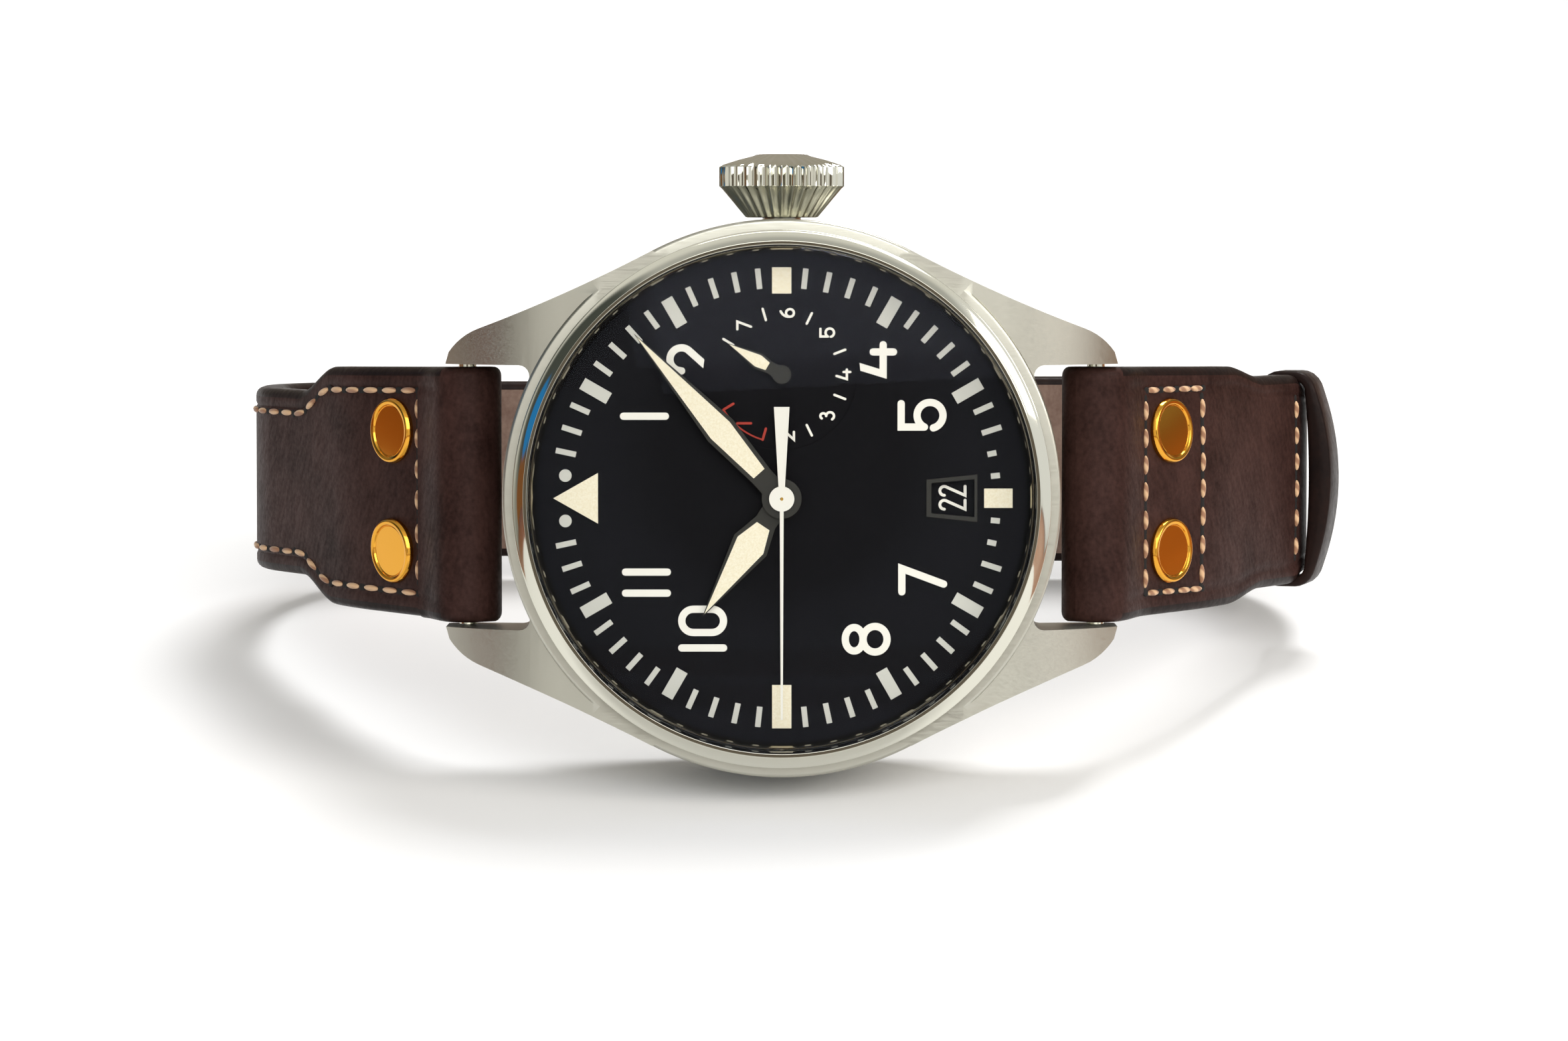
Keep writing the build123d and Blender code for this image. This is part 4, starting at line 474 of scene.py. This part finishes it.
mid_case = turned(
    "middle_case",
    rounded([
        (0, CASE_REAR, 0), (CASE_RADIUS, CASE_REAR, 0.45), (CASE_RADIUS, CASE_FRONT, 0.3), (0, CASE_FRONT, 0),
    ], 4),
    ROUND,
)
for lug_x in (1, -1):
    for lug_y in (1, -1):
        one = lug("lug")
        only(one)
        one.scale = (lug_x, lug_y, 1)
        bpy.ops.object.transform_apply(scale=True)
        clean(one)
        carved(mid_case, one, "UNION")
bore = [
    (0, 0), (BORE_RADIUS, 0), (BORE_RADIUS, SEAT_HEIGHT), (SEAT_RADIUS, SEAT_HEIGHT),
    (SEAT_RADIUS, PAST_FRONT), (0, PAST_FRONT),
]
carved(mid_case, turned("bore", bore, ROUND), "DIFFERENCE")
fitted(
    mid_case, "BEVEL", width=EDGE_BEVEL, segments=3, limit_method="ANGLE", angle_limit=radians(38),
    miter_outer="MITER_ARC", material=1,
)
clean(mid_case)
finish(mid_case, "case", [satin_steel, polished_steel], "satin_steel", "mid_case", sharp=30)

# Bezel: upright foot, hollow polished slope, flat lip round the crystal
BEZEL_RADIUS = 22.2
BEZEL_FOOT = 13.5
BEZEL_FRONT = 14.0
LIP_RADIUS = 21.3
LIP_BORE = 20.98
HOLLOW = 0.22
SINK = 12.3
slope = []
for t in (0.15, 0.3, 0.45, 0.6, 0.75, 0.9):
    rise = (BEZEL_FRONT - BEZEL_FOOT) * t - HOLLOW * t * (1 - t)
    slope.append((BEZEL_RADIUS - (BEZEL_RADIUS - LIP_RADIUS) * t, BEZEL_FOOT + rise, 0))
bezel = turned(
    "bezel_ring",
    rounded([
        (LIP_BORE, SINK, 0), (BEZEL_RADIUS, SINK, 0), (BEZEL_RADIUS, BEZEL_FOOT, 0.05), *slope,
        (LIP_RADIUS, BEZEL_FRONT, 0.05), (LIP_BORE, BEZEL_FRONT, 0.04),
    ]),
    ROUND,
)
finish(bezel, "case", polished_steel, "polished_steel", "bezel")


def dome(low, high, radius, steps=22):
    """Points from the middle to the edge of a dome."""
    return [(radius * t / steps, high - (high - low) * (t / steps) ** 2) for t in range(steps + 1)]


# Crystal: its domes as (height at the edge, height in the middle, radius), and its rim as (radius, height)
OUTER_DOME = (14.2, 15.8, 20.7)
INNER_DOME = (12.35, 13.6, 20.88)
CRYSTAL_RIM = (20.92, 13.95)
crystal = turned("sapphire_crystal", [*dome(*OUTER_DOME), CRYSTAL_RIM, *reversed(dome(*INNER_DOME))])
finish(crystal, "case", sapphire, "sapphire", "crystal")

# Flange: a steep foot, in which the ticks show as thin dashes, swelling over towards the crystal
FLANGE_FOOT = (20.3, 10.96)
FLANGE_TOP = (21.2, 12.2)
swell = tangent_arc(FLANGE_FOOT, FLANGE_TOP, (0.2, 0.98), 12)[0]
flange = turned("flange_ring", [(FLANGE_TOP[0], FLANGE_FOOT[1]), FLANGE_FOOT, *swell], ROUND)
finish(flange, "case", flange_steel, "polished_steel", "dial_flange", sharp=60)

# Seal: a thin rubber ring between crystal and bezel
SEAL_INNER = 20.93
SEAL_OUTER = 20.97
SEAL_LOW = 12.35
SEAL_HIGH = 13.9
seal_wall = rounded([
    (SEAL_INNER, SEAL_LOW, 0), (SEAL_OUTER, SEAL_LOW, 0), (SEAL_OUTER, SEAL_HIGH, 0.01),
    (SEAL_INNER, SEAL_HIGH, 0.01),
])
seal = turned("crystal_seal", seal_wall, 96)
finish(seal, "case", black_rubber, "gasket", "crystal_gasket")

# Crown: near cone, band, far cone and cap as (distance out, radius, scallop's depth)
# Its thirty-two scallops leave crests that are narrow and flat
SCALLOPS = 32
CREST_SHARE = 0.16
CROWN_HEIGHT = 7.0
CROWN = [
    (24.5, 1.0, 0.0), (24.5, 2.15, 0.0), (23.2, 2.15, 0.0), (23.2, 2.85, 0.02), (23.26, 3.02, 0.1),
    (23.95, 3.6, 0.2), (24.8, 4.3, 0.3), (25.58, 4.96, 0.36), (25.6, 4.98, 0.34), (25.8, 5.2, 0.34),
    (25.82, 5.2, 0.42), (26.6, 5.2, 0.42), (27.38, 5.2, 0.42), (27.4, 5.18, 0.4), (27.6, 4.85, 0.34),
    (28.0, 3.6, 0.2), (28.3, 2.4, 0.08), (28.42, 2.12, 0.02), (28.46, 1.9, 0.0), (28.48, 0.0, 0.0),
]


def crown_place(round_share, along_share):
    """A point of the crown's skin, drawn in between its crests."""
    at = along_share * (len(CROWN) - 1)
    low = min(int(at + 1e-6), len(CROWN) - 2)
    x, radius, depth = Vector(CROWN[low]).lerp(Vector(CROWN[low + 1]), at - low)
    turn = 2 * pi * round_share
    hollow = max(0.0, abs(sin(SCALLOPS / 2 * turn)) - CREST_SHARE) / (1 - CREST_SHARE)
    radius -= depth * hollow
    return (x, radius * cos(turn), CROWN_HEIGHT + radius * sin(turn))


crown = wrapped("crown_scalloped", 384, len(CROWN) - 1, crown_place)
finish(crown, "crown_and_stem", polished_steel, "polished_steel", "crown", sharp=28)


# Strap: its middle line, seen along the spring bar, as (distance from the middle, height, bend radius)
STRAP_RUN = [(26.4, 3.2, 0), (36.0, -8.5, 30.0), (45.9, -26.5, 16.0), (45.9, -46.0, 13.0), (20.6, -46.0, 0)]
TRACK_STEP = 0.2
HALF_THICK = 1.3
FOLD_RADIUS = 2.85
FOLD_RUN = 6.5
FOLD_CORNER = 0.65
HALF_LUG_WIDTH = 10.7
LUG_TAPER = 0.35
CORNER_DIP = 0.35
SHOULDER = 19.0
SHOULDER_RUN = 7.0
TUCK_START = 32.6
TUCK_RUN = 3.0
EDGE_ROUND = 0.75
TURNED_IN = 11.0
TWELVE_WIDTH = 16.2
SIX_WIDTH = 18.6
SIX_TUCK = 0.75
FLAP_EDGE = 4.55
FLAP_THICK = 0.72
FLAP_FALL = 0.3
FLAP_RUN = 4.2
CAMBER = 0.22
CAMBER_START = 4.0
CAMBER_RISE = 4.0
CAMBER_END = 30.0
CAMBER_FALL = 8.0
FINE_START = 4.4
FINE_END = 5.0
FINE_ROW = 0.08
ROW = 0.4
LONG_START = 32.0
LONG_ROW = 0.8


def strap_track():
    """Points every fifth of a millimetre down the strap's middle line."""
    points = []
    corner_middles = []
    here = Vector(STRAP_RUN[0][:2])
    length = 0.0
    for index in range(1, len(STRAP_RUN)):
        corner = Vector(STRAP_RUN[index][:2])
        heading = (corner - here).normalized()
        radius = STRAP_RUN[index][2]
        if radius:
            onward = (Vector(STRAP_RUN[index + 1][:2]) - corner).normalized()
            turn = heading.angle(onward)
            cut = radius * tan(turn / 2)
        else:
            turn = cut = 0.0
        run = (corner - here).length - cut
        steps = int(run / TRACK_STEP)
        for step in range(steps):
            points.append((length + run * step / steps, here + heading * run * step / steps, heading))
        length += run
        here = here + heading * run
        if radius:
            inward = Vector((heading.y, -heading.x))
            centre = here + inward * radius
            steps = int(radius * turn / TRACK_STEP)
            for step in range(steps):
                part = Matrix.Rotation(-turn * step / steps, 2)
                spot = centre + part @ (here - centre)
                points.append((length + radius * turn * step / steps, spot, part @ heading))
            corner_middles.append(length + radius * turn / 2)
            part = Matrix.Rotation(-turn, 2)
            here = centre + part @ (here - centre)
            length += radius * turn
    points.append((length, here, heading))
    return points, corner_middles, length


TRACK, BEND_MIDDLES, STRAP_LENGTH = strap_track()


def on_track(s):
    """Place, heading and outward direction at a length down the strap."""
    if s <= 0 or s >= STRAP_LENGTH:
        _, spot, heading = TRACK[0] if s <= 0 else TRACK[-1]
        spot = spot + heading * (s if s <= 0 else s - STRAP_LENGTH)
    else:
        low, high = 0, len(TRACK) - 1
        while high - low > 1:
            middle = (low + high) // 2
            low, high = (middle, high) if TRACK[middle][0] <= s else (low, middle)
        share = (s - TRACK[low][0]) / (TRACK[high][0] - TRACK[low][0])
        spot = TRACK[low][1].lerp(TRACK[high][1], share)
        heading = TRACK[low][2].lerp(TRACK[high][2], share).normalized()
    return spot, heading, Vector((-heading.y, heading.x))


def strap_point(s, v, h, way):
    """A point at a length down the strap, across it and above its middle, on the side that way says."""
    spot, _, up = on_track(s)
    spot = spot + up * h
    return Vector((v, way * spot.x, spot.y))


def ease(t):
    """A soft step from 0 to 1."""
    t = min(max(t, 0.0), 1.0)
    return t * t * (3 - 2 * t)


class Half:
    """The sizes of one strap half."""

    def __init__(self, way, narrow, flap, tuck):
        self.way, self.narrow, self.flap, self.tuck = way, narrow, flap, tuck

    def width(self, s):
        """Half the strap's width at a length."""
        wide = HALF_LUG_WIDTH - LUG_TAPER * min(max(s, 0), SHOULDER) / SHOULDER
        corner = FOLD_CORNER - FOLD_RADIUS - s
        if corner > 0:
            wide -= CORNER_DIP * (corner / FOLD_CORNER) ** 2
        drawn_in = (self.narrow / 2 - wide) * ease((s - SHOULDER) / SHOULDER_RUN)
        return wide + drawn_in - self.tuck * ease((s - TUCK_START) / TUCK_RUN)

    def top(self, s, v):
        """Height of the outer face above the middle line."""
        if s <= 0:
            return sqrt(max(FOLD_RADIUS ** 2 - s * s, 0.0))
        if s > STRAP_LENGTH:
            return sqrt(max(HALF_THICK ** 2 - (s - STRAP_LENGTH) ** 2, 0.0))
        swell = FOLD_RADIUS - HALF_THICK
        if self.flap:
            flap = FLAP_THICK * (1 - ease((s - FLAP_EDGE) / FLAP_FALL))
            rest = HALF_THICK + flap + (swell - FLAP_THICK) * (1 - ease(s / FLAP_RUN))
        else:
            rest = HALF_THICK + swell * (1 - ease(s / FOLD_RUN))
        camber = CAMBER * ease((s - CAMBER_START) / CAMBER_RISE) * (1 - ease((s - CAMBER_END) / CAMBER_FALL))
        return rest + camber * (1 - (v / self.width(s)) ** 2)

    def bottom(self, s):
        """Height of the inner face, below the middle line."""
        if s <= 0:
            return -sqrt(max(FOLD_RADIUS ** 2 - s * s, 0.0))
        if s > STRAP_LENGTH:
            return -sqrt(max(HALF_THICK ** 2 - (s - STRAP_LENGTH) ** 2, 0.0))
        return -HALF_THICK - (FOLD_RADIUS - HALF_THICK) * (1 - ease(s / FOLD_RUN))

    def section(self):
        """The section's points as (kind, share, dip): the outer face, the edges and the inner face."""
        face = [-1, -0.93, -0.89, -0.86, -0.8, -0.6, -0.4, -0.2, 0, 0.2, 0.4, 0.6, 0.8, 0.86, 0.89, 0.93, 1]
        dips = [0, 0, 0.12, 0, 0, 0, 0, 0, 0, 0, 0, 0, 0, 0, 0.12, 0, 0]
        points = [("face", share, dip) for share, dip in zip(face, dips)]
        points += [("edge", 90 - 180 * step / 9, 1) for step in range(1, 9)]
        points += [("back", share, 0) for share in (1, 0.5, 0, -0.5, -1)]
        points += [("edge", -90 + 180 * step / 9, -1) for step in range(1, 9)]
        return points + points[:1]

    def lengths(self):
        """Where the strap's rows lie, closer together at its folds and at the flap's edge."""
        rows = [-FOLD_RADIUS * cos(pi / 2 * step / 8) for step in range(8)]
        s = 0.0
        while s < STRAP_LENGTH:
            rows.append(s)
            if self.flap and FINE_START < s < FINE_END:
                s += FINE_ROW
            else:
                s += ROW if s < LONG_START else LONG_ROW
        return rows + [STRAP_LENGTH + HALF_THICK * sin(pi / 2 * step / 6) for step in range(7)]

    def place(self, across, along):
        """A point of the leather's skin."""
        kind, share, dip = SECTION[round(across * (len(SECTION) - 1))]
        rows = self.rows
        s = rows[round(along * (len(rows) - 1))]
        half = self.width(s)
        low = self.bottom(s)
        round_edge = min(EDGE_ROUND, (self.top(s, 0) - low) / 2)
        if kind == "edge":
            high = self.top(s, half)
            turn = radians(share)
            v = dip * (half - round_edge + round_edge * cos(turn))
            middle = (high + low) / 2
            if high - low < 2 * round_edge:
                h = middle + (high - low) / 2 * sin(turn)
            else:
                h = (high - round_edge if turn > 0 else low + round_edge) + round_edge * sin(turn)
        else:
            v = share * (half - round_edge)
            h = low if kind == "back" else self.top(s, v) - dip * ease(s / 2)
        return strap_point(s, v, h, self.way)

    def region(self, across, along):
        """Which leather a face takes: waxed outside and round the bar, lining inside, burnished edge."""
        column = min(int(across * (len(SECTION) - 1)), len(SECTION) - 2)
        kind, onward = SECTION[column][0], SECTION[column + 1][0]
        s = self.rows[int(along * (len(self.rows) - 1))]
        if kind == onward == "face" or s < 0:
            return 0
        if kind == onward == "back":
            return 0 if s < TURNED_IN else 1
        return 2

    def seat(self, s, v, lift=0.0):
        """A place on the outer face: x across the strap, y down it, z outward."""
        spot, heading, up = on_track(s)
        down = Vector((0, self.way * heading.x, heading.y))
        out = Vector((0, self.way * up.x, up.y))
        across = down.cross(out)
        where = strap_point(s, v, self.top(s, v) + lift, self.way)
        return Matrix.Translation(where) @ Matrix((across, down, out)).transposed().to_4x4()


twelve = Half(1, TWELVE_WIDTH, True, 0.0)
six = Half(-1, SIX_WIDTH, False, SIX_TUCK)
SECTION = twelve.section()


def strap_half(name, half, body, node):
    """One half's leather on its body, in place of the plain solid."""
    half.rows = half.lengths()
    piece = wrapped(name, len(SECTION) - 1, len(half.rows) - 1, half.place, half.region)
    return finish(piece, body, [strap_leather, strap_lining, edge_and_keeper_shade], "leather", node, sharp=50)


strap_half("strap_twelve_leather", twelve, "strap_twelve", "strap_upper")
strap_half("strap_six_leather", six, "strap_six", "strap_lower")


def stitch_model():
    """One stitch lying along y: a grain of thread."""
    bpy.ops.object.select_all(action="DESELECT")
    bpy.ops.mesh.primitive_uv_sphere_add(segments=10, ring_count=8, radius=1, rotation=(pi / 2, 0, 0))
    model = bpy.context.object
    bpy.ops.object.transform_apply(rotation=True)
    return model


def sewn(name, half, body, places, size, lift, material):
    """Lay a stitch at each (length, across, turn, stitch length) and join them into one piece."""
    model = stitch_model()
    made = []
    for s, v, turn, length in places:
        one = model.copy()
        one.data = model.data.copy()
        bpy.context.collection.objects.link(one)
        scale = Matrix.Diagonal((size[0], size[1] * length, size[2], 1))
        one.data.transform(half.seat(s, v, lift) @ Matrix.Rotation(turn, 4, "Z") @ scale)
        made.append(one)
    bpy.data.objects.remove(model)
    finish(joined(name, made), body, material, "leather", sharp=60)


def edge_row(half, start, stop, pitch, inset):
    """Stitches along both edges, that follow the shoulders."""
    places = []
    for way in (1, -1):
        s = start
        while s < stop:
            v = way * (half.width(s) - inset)
            slope = way * (half.width(s + 0.3) - half.width(s - 0.3)) / 0.6
            places.append((s, v, -atan2(slope, 1), 2.2))
            s += pitch / sqrt(1 + slope * slope)
    return places


# Each stitch's place as (length down the strap, across it, turn, stitch length)
THREAD = (0.27, 0.46, 0.3)
# Size of the flat near-black dots of painted shade that stand for the awl holes
AWL_HOLE = (0.3, 0.42, 0.06)
across_twelve = [(5.25, v * 1.02, pi / 2, 1.85) for v in (6.9, 4.45, 1.9, -0.65, -3.45, -6.5)]
twelve_stitches = across_twelve + edge_row(
    twelve, start=6.6, stop=STRAP_LENGTH - 4, pitch=2.75, inset=2.0,
)
across_six = (6.74, 4.45, 2.24, 0.03, -2.34, -4.72, -7.18)
six_stitches = [(s, v * 1.02, pi / 2, 1.8) for s in (4.95, 13.4) for v in across_six]
six_stitches += [(s, way * 8.6, 0, 1.9) for s in (6.3, 8.6, 10.9, 12.6) for way in (1, -1)]
six_stitches += [(32.4, v, pi / 2, 1.7) for v in (6.2, 3.9, 1.6, -0.8, -3.4, -5.9)]
for body, half, places in (
    ("strap_twelve", twelve, twelve_stitches), ("strap_six", six, six_stitches),
):
    sewn(body + "_stitches", half, body, places, THREAD, 0.02, tan_thread)
    # At each stitch's two ends a flat dark dot, nearly flush, is painted shade standing for the awl hole
    holes = []
    for s, v, turn, length in places:
        for end in (-1, 1):
            reach = end * length * 0.56
            holes.append((s + cos(turn) * reach, v - sin(turn) * reach, turn, 0.9))
    sewn(body + "_painted_hole_shades", half, body, holes, AWL_HOLE, -0.01, painted_hole_shade)

# Rivets: rolled rim round a flat cap, with a washer on the lining
RIVET_PLACE = 8.7
RIVET_SIDE = 5.1
RIVET_SINK = 0.1
RIVET = rounded([
    (0, 0.5, 0), (2.1, 0.46, 0), (2.18, 0.38, 0.04), (2.26, 0.6, 0.1), (2.62, 0.68, 0.2), (2.8, 0.3, 0.15),
    (2.75, -0.12, 0), (0.9, -0.12, 0), (0.9, -2.55, 0), (2.0, -2.55, 0.05), (2.1, -2.85, 0.1),
    (0.7, -2.9, 0.05), (0, -2.75, 0),
], 4)


def rivet_pair(name, half, body, node, leans):
    """Two rivets, leaning by these degrees, as rivets set by hand do."""
    made = []
    for way, lean in zip((-1, 1), leans):
        one = turned("rivet", RIVET, 48)
        seat = half.seat(RIVET_PLACE, way * RIVET_SIDE, -RIVET_SINK)
        one.data.transform(seat @ Matrix.Rotation(radians(lean), 4, "Y"))
        made.append(one)
    finish(joined(name, made), body, gilt_brass, "brass", node, sharp=40)


rivet_pair("rivets_twelve", twelve, "strap_twelve", "upper_rivets", (-4, 0))
rivet_pair("rivets_six", six, "strap_six", "lower_rivets", (0, -4))

# Keeper: a loop of the same leather round the six o'clock half, bowed outward and thickest at its middle,
# coloured near black like the cut edge: partly its edge paint, partly painted shade
KEEPER_MIDDLE = BEND_MIDDLES[1]
HALF_LOOP = 8.7
LOOP_TOP = 1.75
LOOP_BOTTOM = -1.5
LOOP_CORNER = 0.9
LOOP_BOW = 0.45
KEEPER_REACH = 2.25
KEEPER_THICK = 0.9
KEEPER_SWELL = 1.2
SWELL_REACH = 8.2
KEEPER_BOW = [(v / 2, LOOP_TOP + LOOP_BOW * (1 - (v / 17) ** 2), 0) for v in range(-15, 16, 2)]
KEEPER_LOOP = rounded([
    (-HALF_LOOP, LOOP_TOP, LOOP_CORNER), *KEEPER_BOW, (HALF_LOOP, LOOP_TOP, LOOP_CORNER),
    (HALF_LOOP, LOOP_BOTTOM, LOOP_CORNER), (-HALF_LOOP, LOOP_BOTTOM, LOOP_CORNER),
], 5)
KEEPER_WALL = rounded([
    (-KEEPER_REACH, 0, 0.25), (-KEEPER_REACH, KEEPER_THICK, 0.4), (KEEPER_REACH, KEEPER_THICK, 0.4),
    (KEEPER_REACH, 0, 0.25),
], 4)


def keeper_place(round_share, wall_share):
    """A point of the keeper's skin: its wall carried round its loop."""
    count = len(KEEPER_LOOP)
    at = round(round_share * count) % count
    here, before, after = (Vector(KEEPER_LOOP[(at + step) % count]) for step in (0, -1, 1))
    heading = (after - before).normalized()
    out = Vector((-heading.y, heading.x))
    if here.dot(out) <= 0:
        out = -out
    along, wall = KEEPER_WALL[round(wall_share * len(KEEPER_WALL)) % len(KEEPER_WALL)]
    swell = 1 + KEEPER_SWELL * max(0, 1 - (here.x / SWELL_REACH) ** 2) * (here.y > 0)
    spot = here + out * wall * swell
    return strap_point(KEEPER_MIDDLE + along, spot.x, spot.y, -1)


keeper = wrapped("keeper_leather", len(KEEPER_LOOP), len(KEEPER_WALL), keeper_place)
# The keeper's near-black finish is partly painted shade
finish(keeper, "keeper", edge_and_keeper_shade, "leather", "strap_keeper", sharp=50)


# Camera, table and light

CAMERA_TILT = radians(2.75)
CAMERA_REACH = 475
AIM_RIGHT = 0.19
AIM_DOWN = 2.05
SENSOR_WIDTH = 36
FOCAL_LENGTH = 130.7
case_middle = STAND @ Vector((0, 0, CROWN_HEIGHT))
toward = (OUTWARD * cos(CAMERA_TILT) + THREE * sin(CAMERA_TILT)).normalized()
right = -TWELVE
up = toward.cross(right)
aim = case_middle + right * AIM_RIGHT * MM - up * AIM_DOWN * MM
camera = bpy.data.objects.new("camera", bpy.data.cameras.new("camera"))
bpy.context.collection.objects.link(camera)
camera.location = case_middle + toward * CAMERA_REACH * MM
camera.rotation_euler = (camera.location - aim).to_track_quat("Z", "Y").to_euler()
camera.data.sensor_width = SENSOR_WIDTH
camera.data.lens = FOCAL_LENGTH
camera.data.clip_start = 0.01
bpy.context.scene.camera = camera


def slab(name, size, place):
    """A flat sheet of the stage."""
    bpy.ops.object.select_all(action="DESELECT")
    bpy.ops.mesh.primitive_plane_add(size=1, location=place)
    piece = bpy.context.object
    piece.name = name
    piece.scale = (*size, 1)
    bpy.ops.object.transform_apply(location=False, rotation=False, scale=True)
    return piece


# Coated board, white and matt: near white to the camera, and it keeps the watch's shadow
board, board_shader = new_finish("coated_board_white", "#e8e8e9", 0.8)
bump(board, board_shader, grain(board, 2.0), 0.01, 0.2)
glow = add_node(board, "ShaderNodeEmission", {"Color": (1, 1, 1, 1), "Strength": 0.03})
seen = add_node(board, "ShaderNodeLightPath").outputs["Is Camera Ray"]
lift = add_node(board, "ShaderNodeMixShader", {0: seen, 2: glow.outputs["Emission"]})
both = add_node(board, "ShaderNodeAddShader", {0: board_shader.outputs["BSDF"], 1: lift.outputs["Shader"]})
link(board, both.outputs["Shader"], board.node_tree.nodes["Material Output"].inputs["Surface"])
slab("board", (0.3, 0.8), (-0.045, 0.1, 0)).data.materials.append(board)

# Oiled oak round the board: the metal mirrors it, and the camera sees it as white
oak, oak_shader = new_finish("oak_oiled", "#8f5427", 0.5)
rings = grain(oak, 4.0, (1, 12, 1))
link(oak, ramp(oak, rings, (0.3, "#6e3d1a"), (0.7, "#a5652f")), oak_shader.inputs["Base Color"])
plain_white = add_node(oak, "ShaderNodeEmission", {"Color": (1, 1, 1, 1), "Strength": 1.0})
oak_seen = add_node(oak, "ShaderNodeLightPath").outputs["Is Camera Ray"]
either = add_node(
    oak, "ShaderNodeMixShader",
    {0: oak_seen, 1: oak_shader.outputs["BSDF"], 2: plain_white.outputs["Emission"]},
)
link(oak, either.outputs["Shader"], oak.node_tree.nodes["Material Output"].inputs["Surface"])
slab("table", (6, 6), (0, 0, -0.0005)).data.materials.append(oak)

# The room the metal mirrors: (direction, half angle and soft rim in degrees, colour)
ROOM = [
    ((0.1, -0.1, 1.0), 42, 26, "#c6c6c2"),
    ((0.0, -0.86, 0.5), 36, 20, "#f6f4ee"),
    ((0.0, 0.8, 0.6), 24, 16, "#b3aca0"),
    ((0.85, -0.45, 0.35), 20, 12, "#ffffff"),
    ((-0.85, -0.2, 0.5), 20, 12, "#50544f"),
    ((0.0, -0.96, 0.26), 9, 4, "#6e655a"),
    ((-0.84, 0.5, 0.05), 7, 3, "#161312"),
    ((-0.93, -0.36, 0.02), 9, 4, "#8a5a34"),
    ((-0.9, -0.3, 0.34), 7, 3, "#2f86cc"),
    ((-0.84, 0.5, 0.2), 5, 3, "#2f86cc"),
    ((0.84, 0.5, 0.0), 6, 3, "#1b1918"),
    ((0.84, 0.5, 0.12), 4, 2, "#e9e4dc"),
    ((0.8, 0.5, 0.3), 7, 4, "#6b5a4c"),
]
world = bpy.data.worlds.new("room")
bpy.context.scene.world = world
world.use_nodes = True
direction = add_node(world, "ShaderNodeTexCoord").outputs["Generated"]
room = add_node(world, "ShaderNodeRGB").outputs["Color"]
room.default_value = colour("#97958c")
for toward_it, reach, rim, tint in ROOM:
    nearness = add_node(
        world, "ShaderNodeVectorMath", {0: direction, 1: Vector(toward_it).normalized()},
        operation="DOT_PRODUCT",
    ).outputs["Value"]
    share = add_node(
        world, "ShaderNodeMapRange", {0: nearness, 1: cos(radians(reach + rim)), 2: cos(radians(reach))},
        interpolation_type="SMOOTHSTEP",
    ).outputs[0]
    room = add_node(world, "ShaderNodeMix", {0: share, 6: room, 7: colour(tint)}, data_type="RGBA").outputs[2]
seen_world = add_node(world, "ShaderNodeLightPath").outputs["Is Camera Ray"]
plain = add_node(
    world, "ShaderNodeMix", {0: seen_world, 6: room, 7: (1, 1, 1, 1)}, data_type="RGBA",
).outputs[2]
sky = world.node_tree.nodes["Background"]
link(world, plain, sky.inputs["Color"])
sky.inputs["Strength"].default_value = 1.0

LAMP_TARGET = Vector((0, 0, 0.02))


def lamp(name, place, size, watts, tint="#ffffff"):
    """A soft square lamp aimed at the watch."""
    light = bpy.data.objects.new(name, bpy.data.lights.new(name, "AREA"))
    bpy.context.collection.objects.link(light)
    light.data.size = size
    light.data.energy = watts
    light.data.color = colour(tint)[:3]
    light.location = place
    light.rotation_euler = (Vector(place) - LAMP_TARGET).to_track_quat("Z", "Y").to_euler()


lamp("overhead", (0.16, 0.34, 0.7), 0.26, 4.4)
lamp("front", (0.1, -0.7, 0.6), 0.6, 3.2)
lamp("right", (0.7, -0.35, 0.5), 0.35, 2.6, "#fff8ee")

bpy.context.scene.view_settings.view_transform = "Standard"
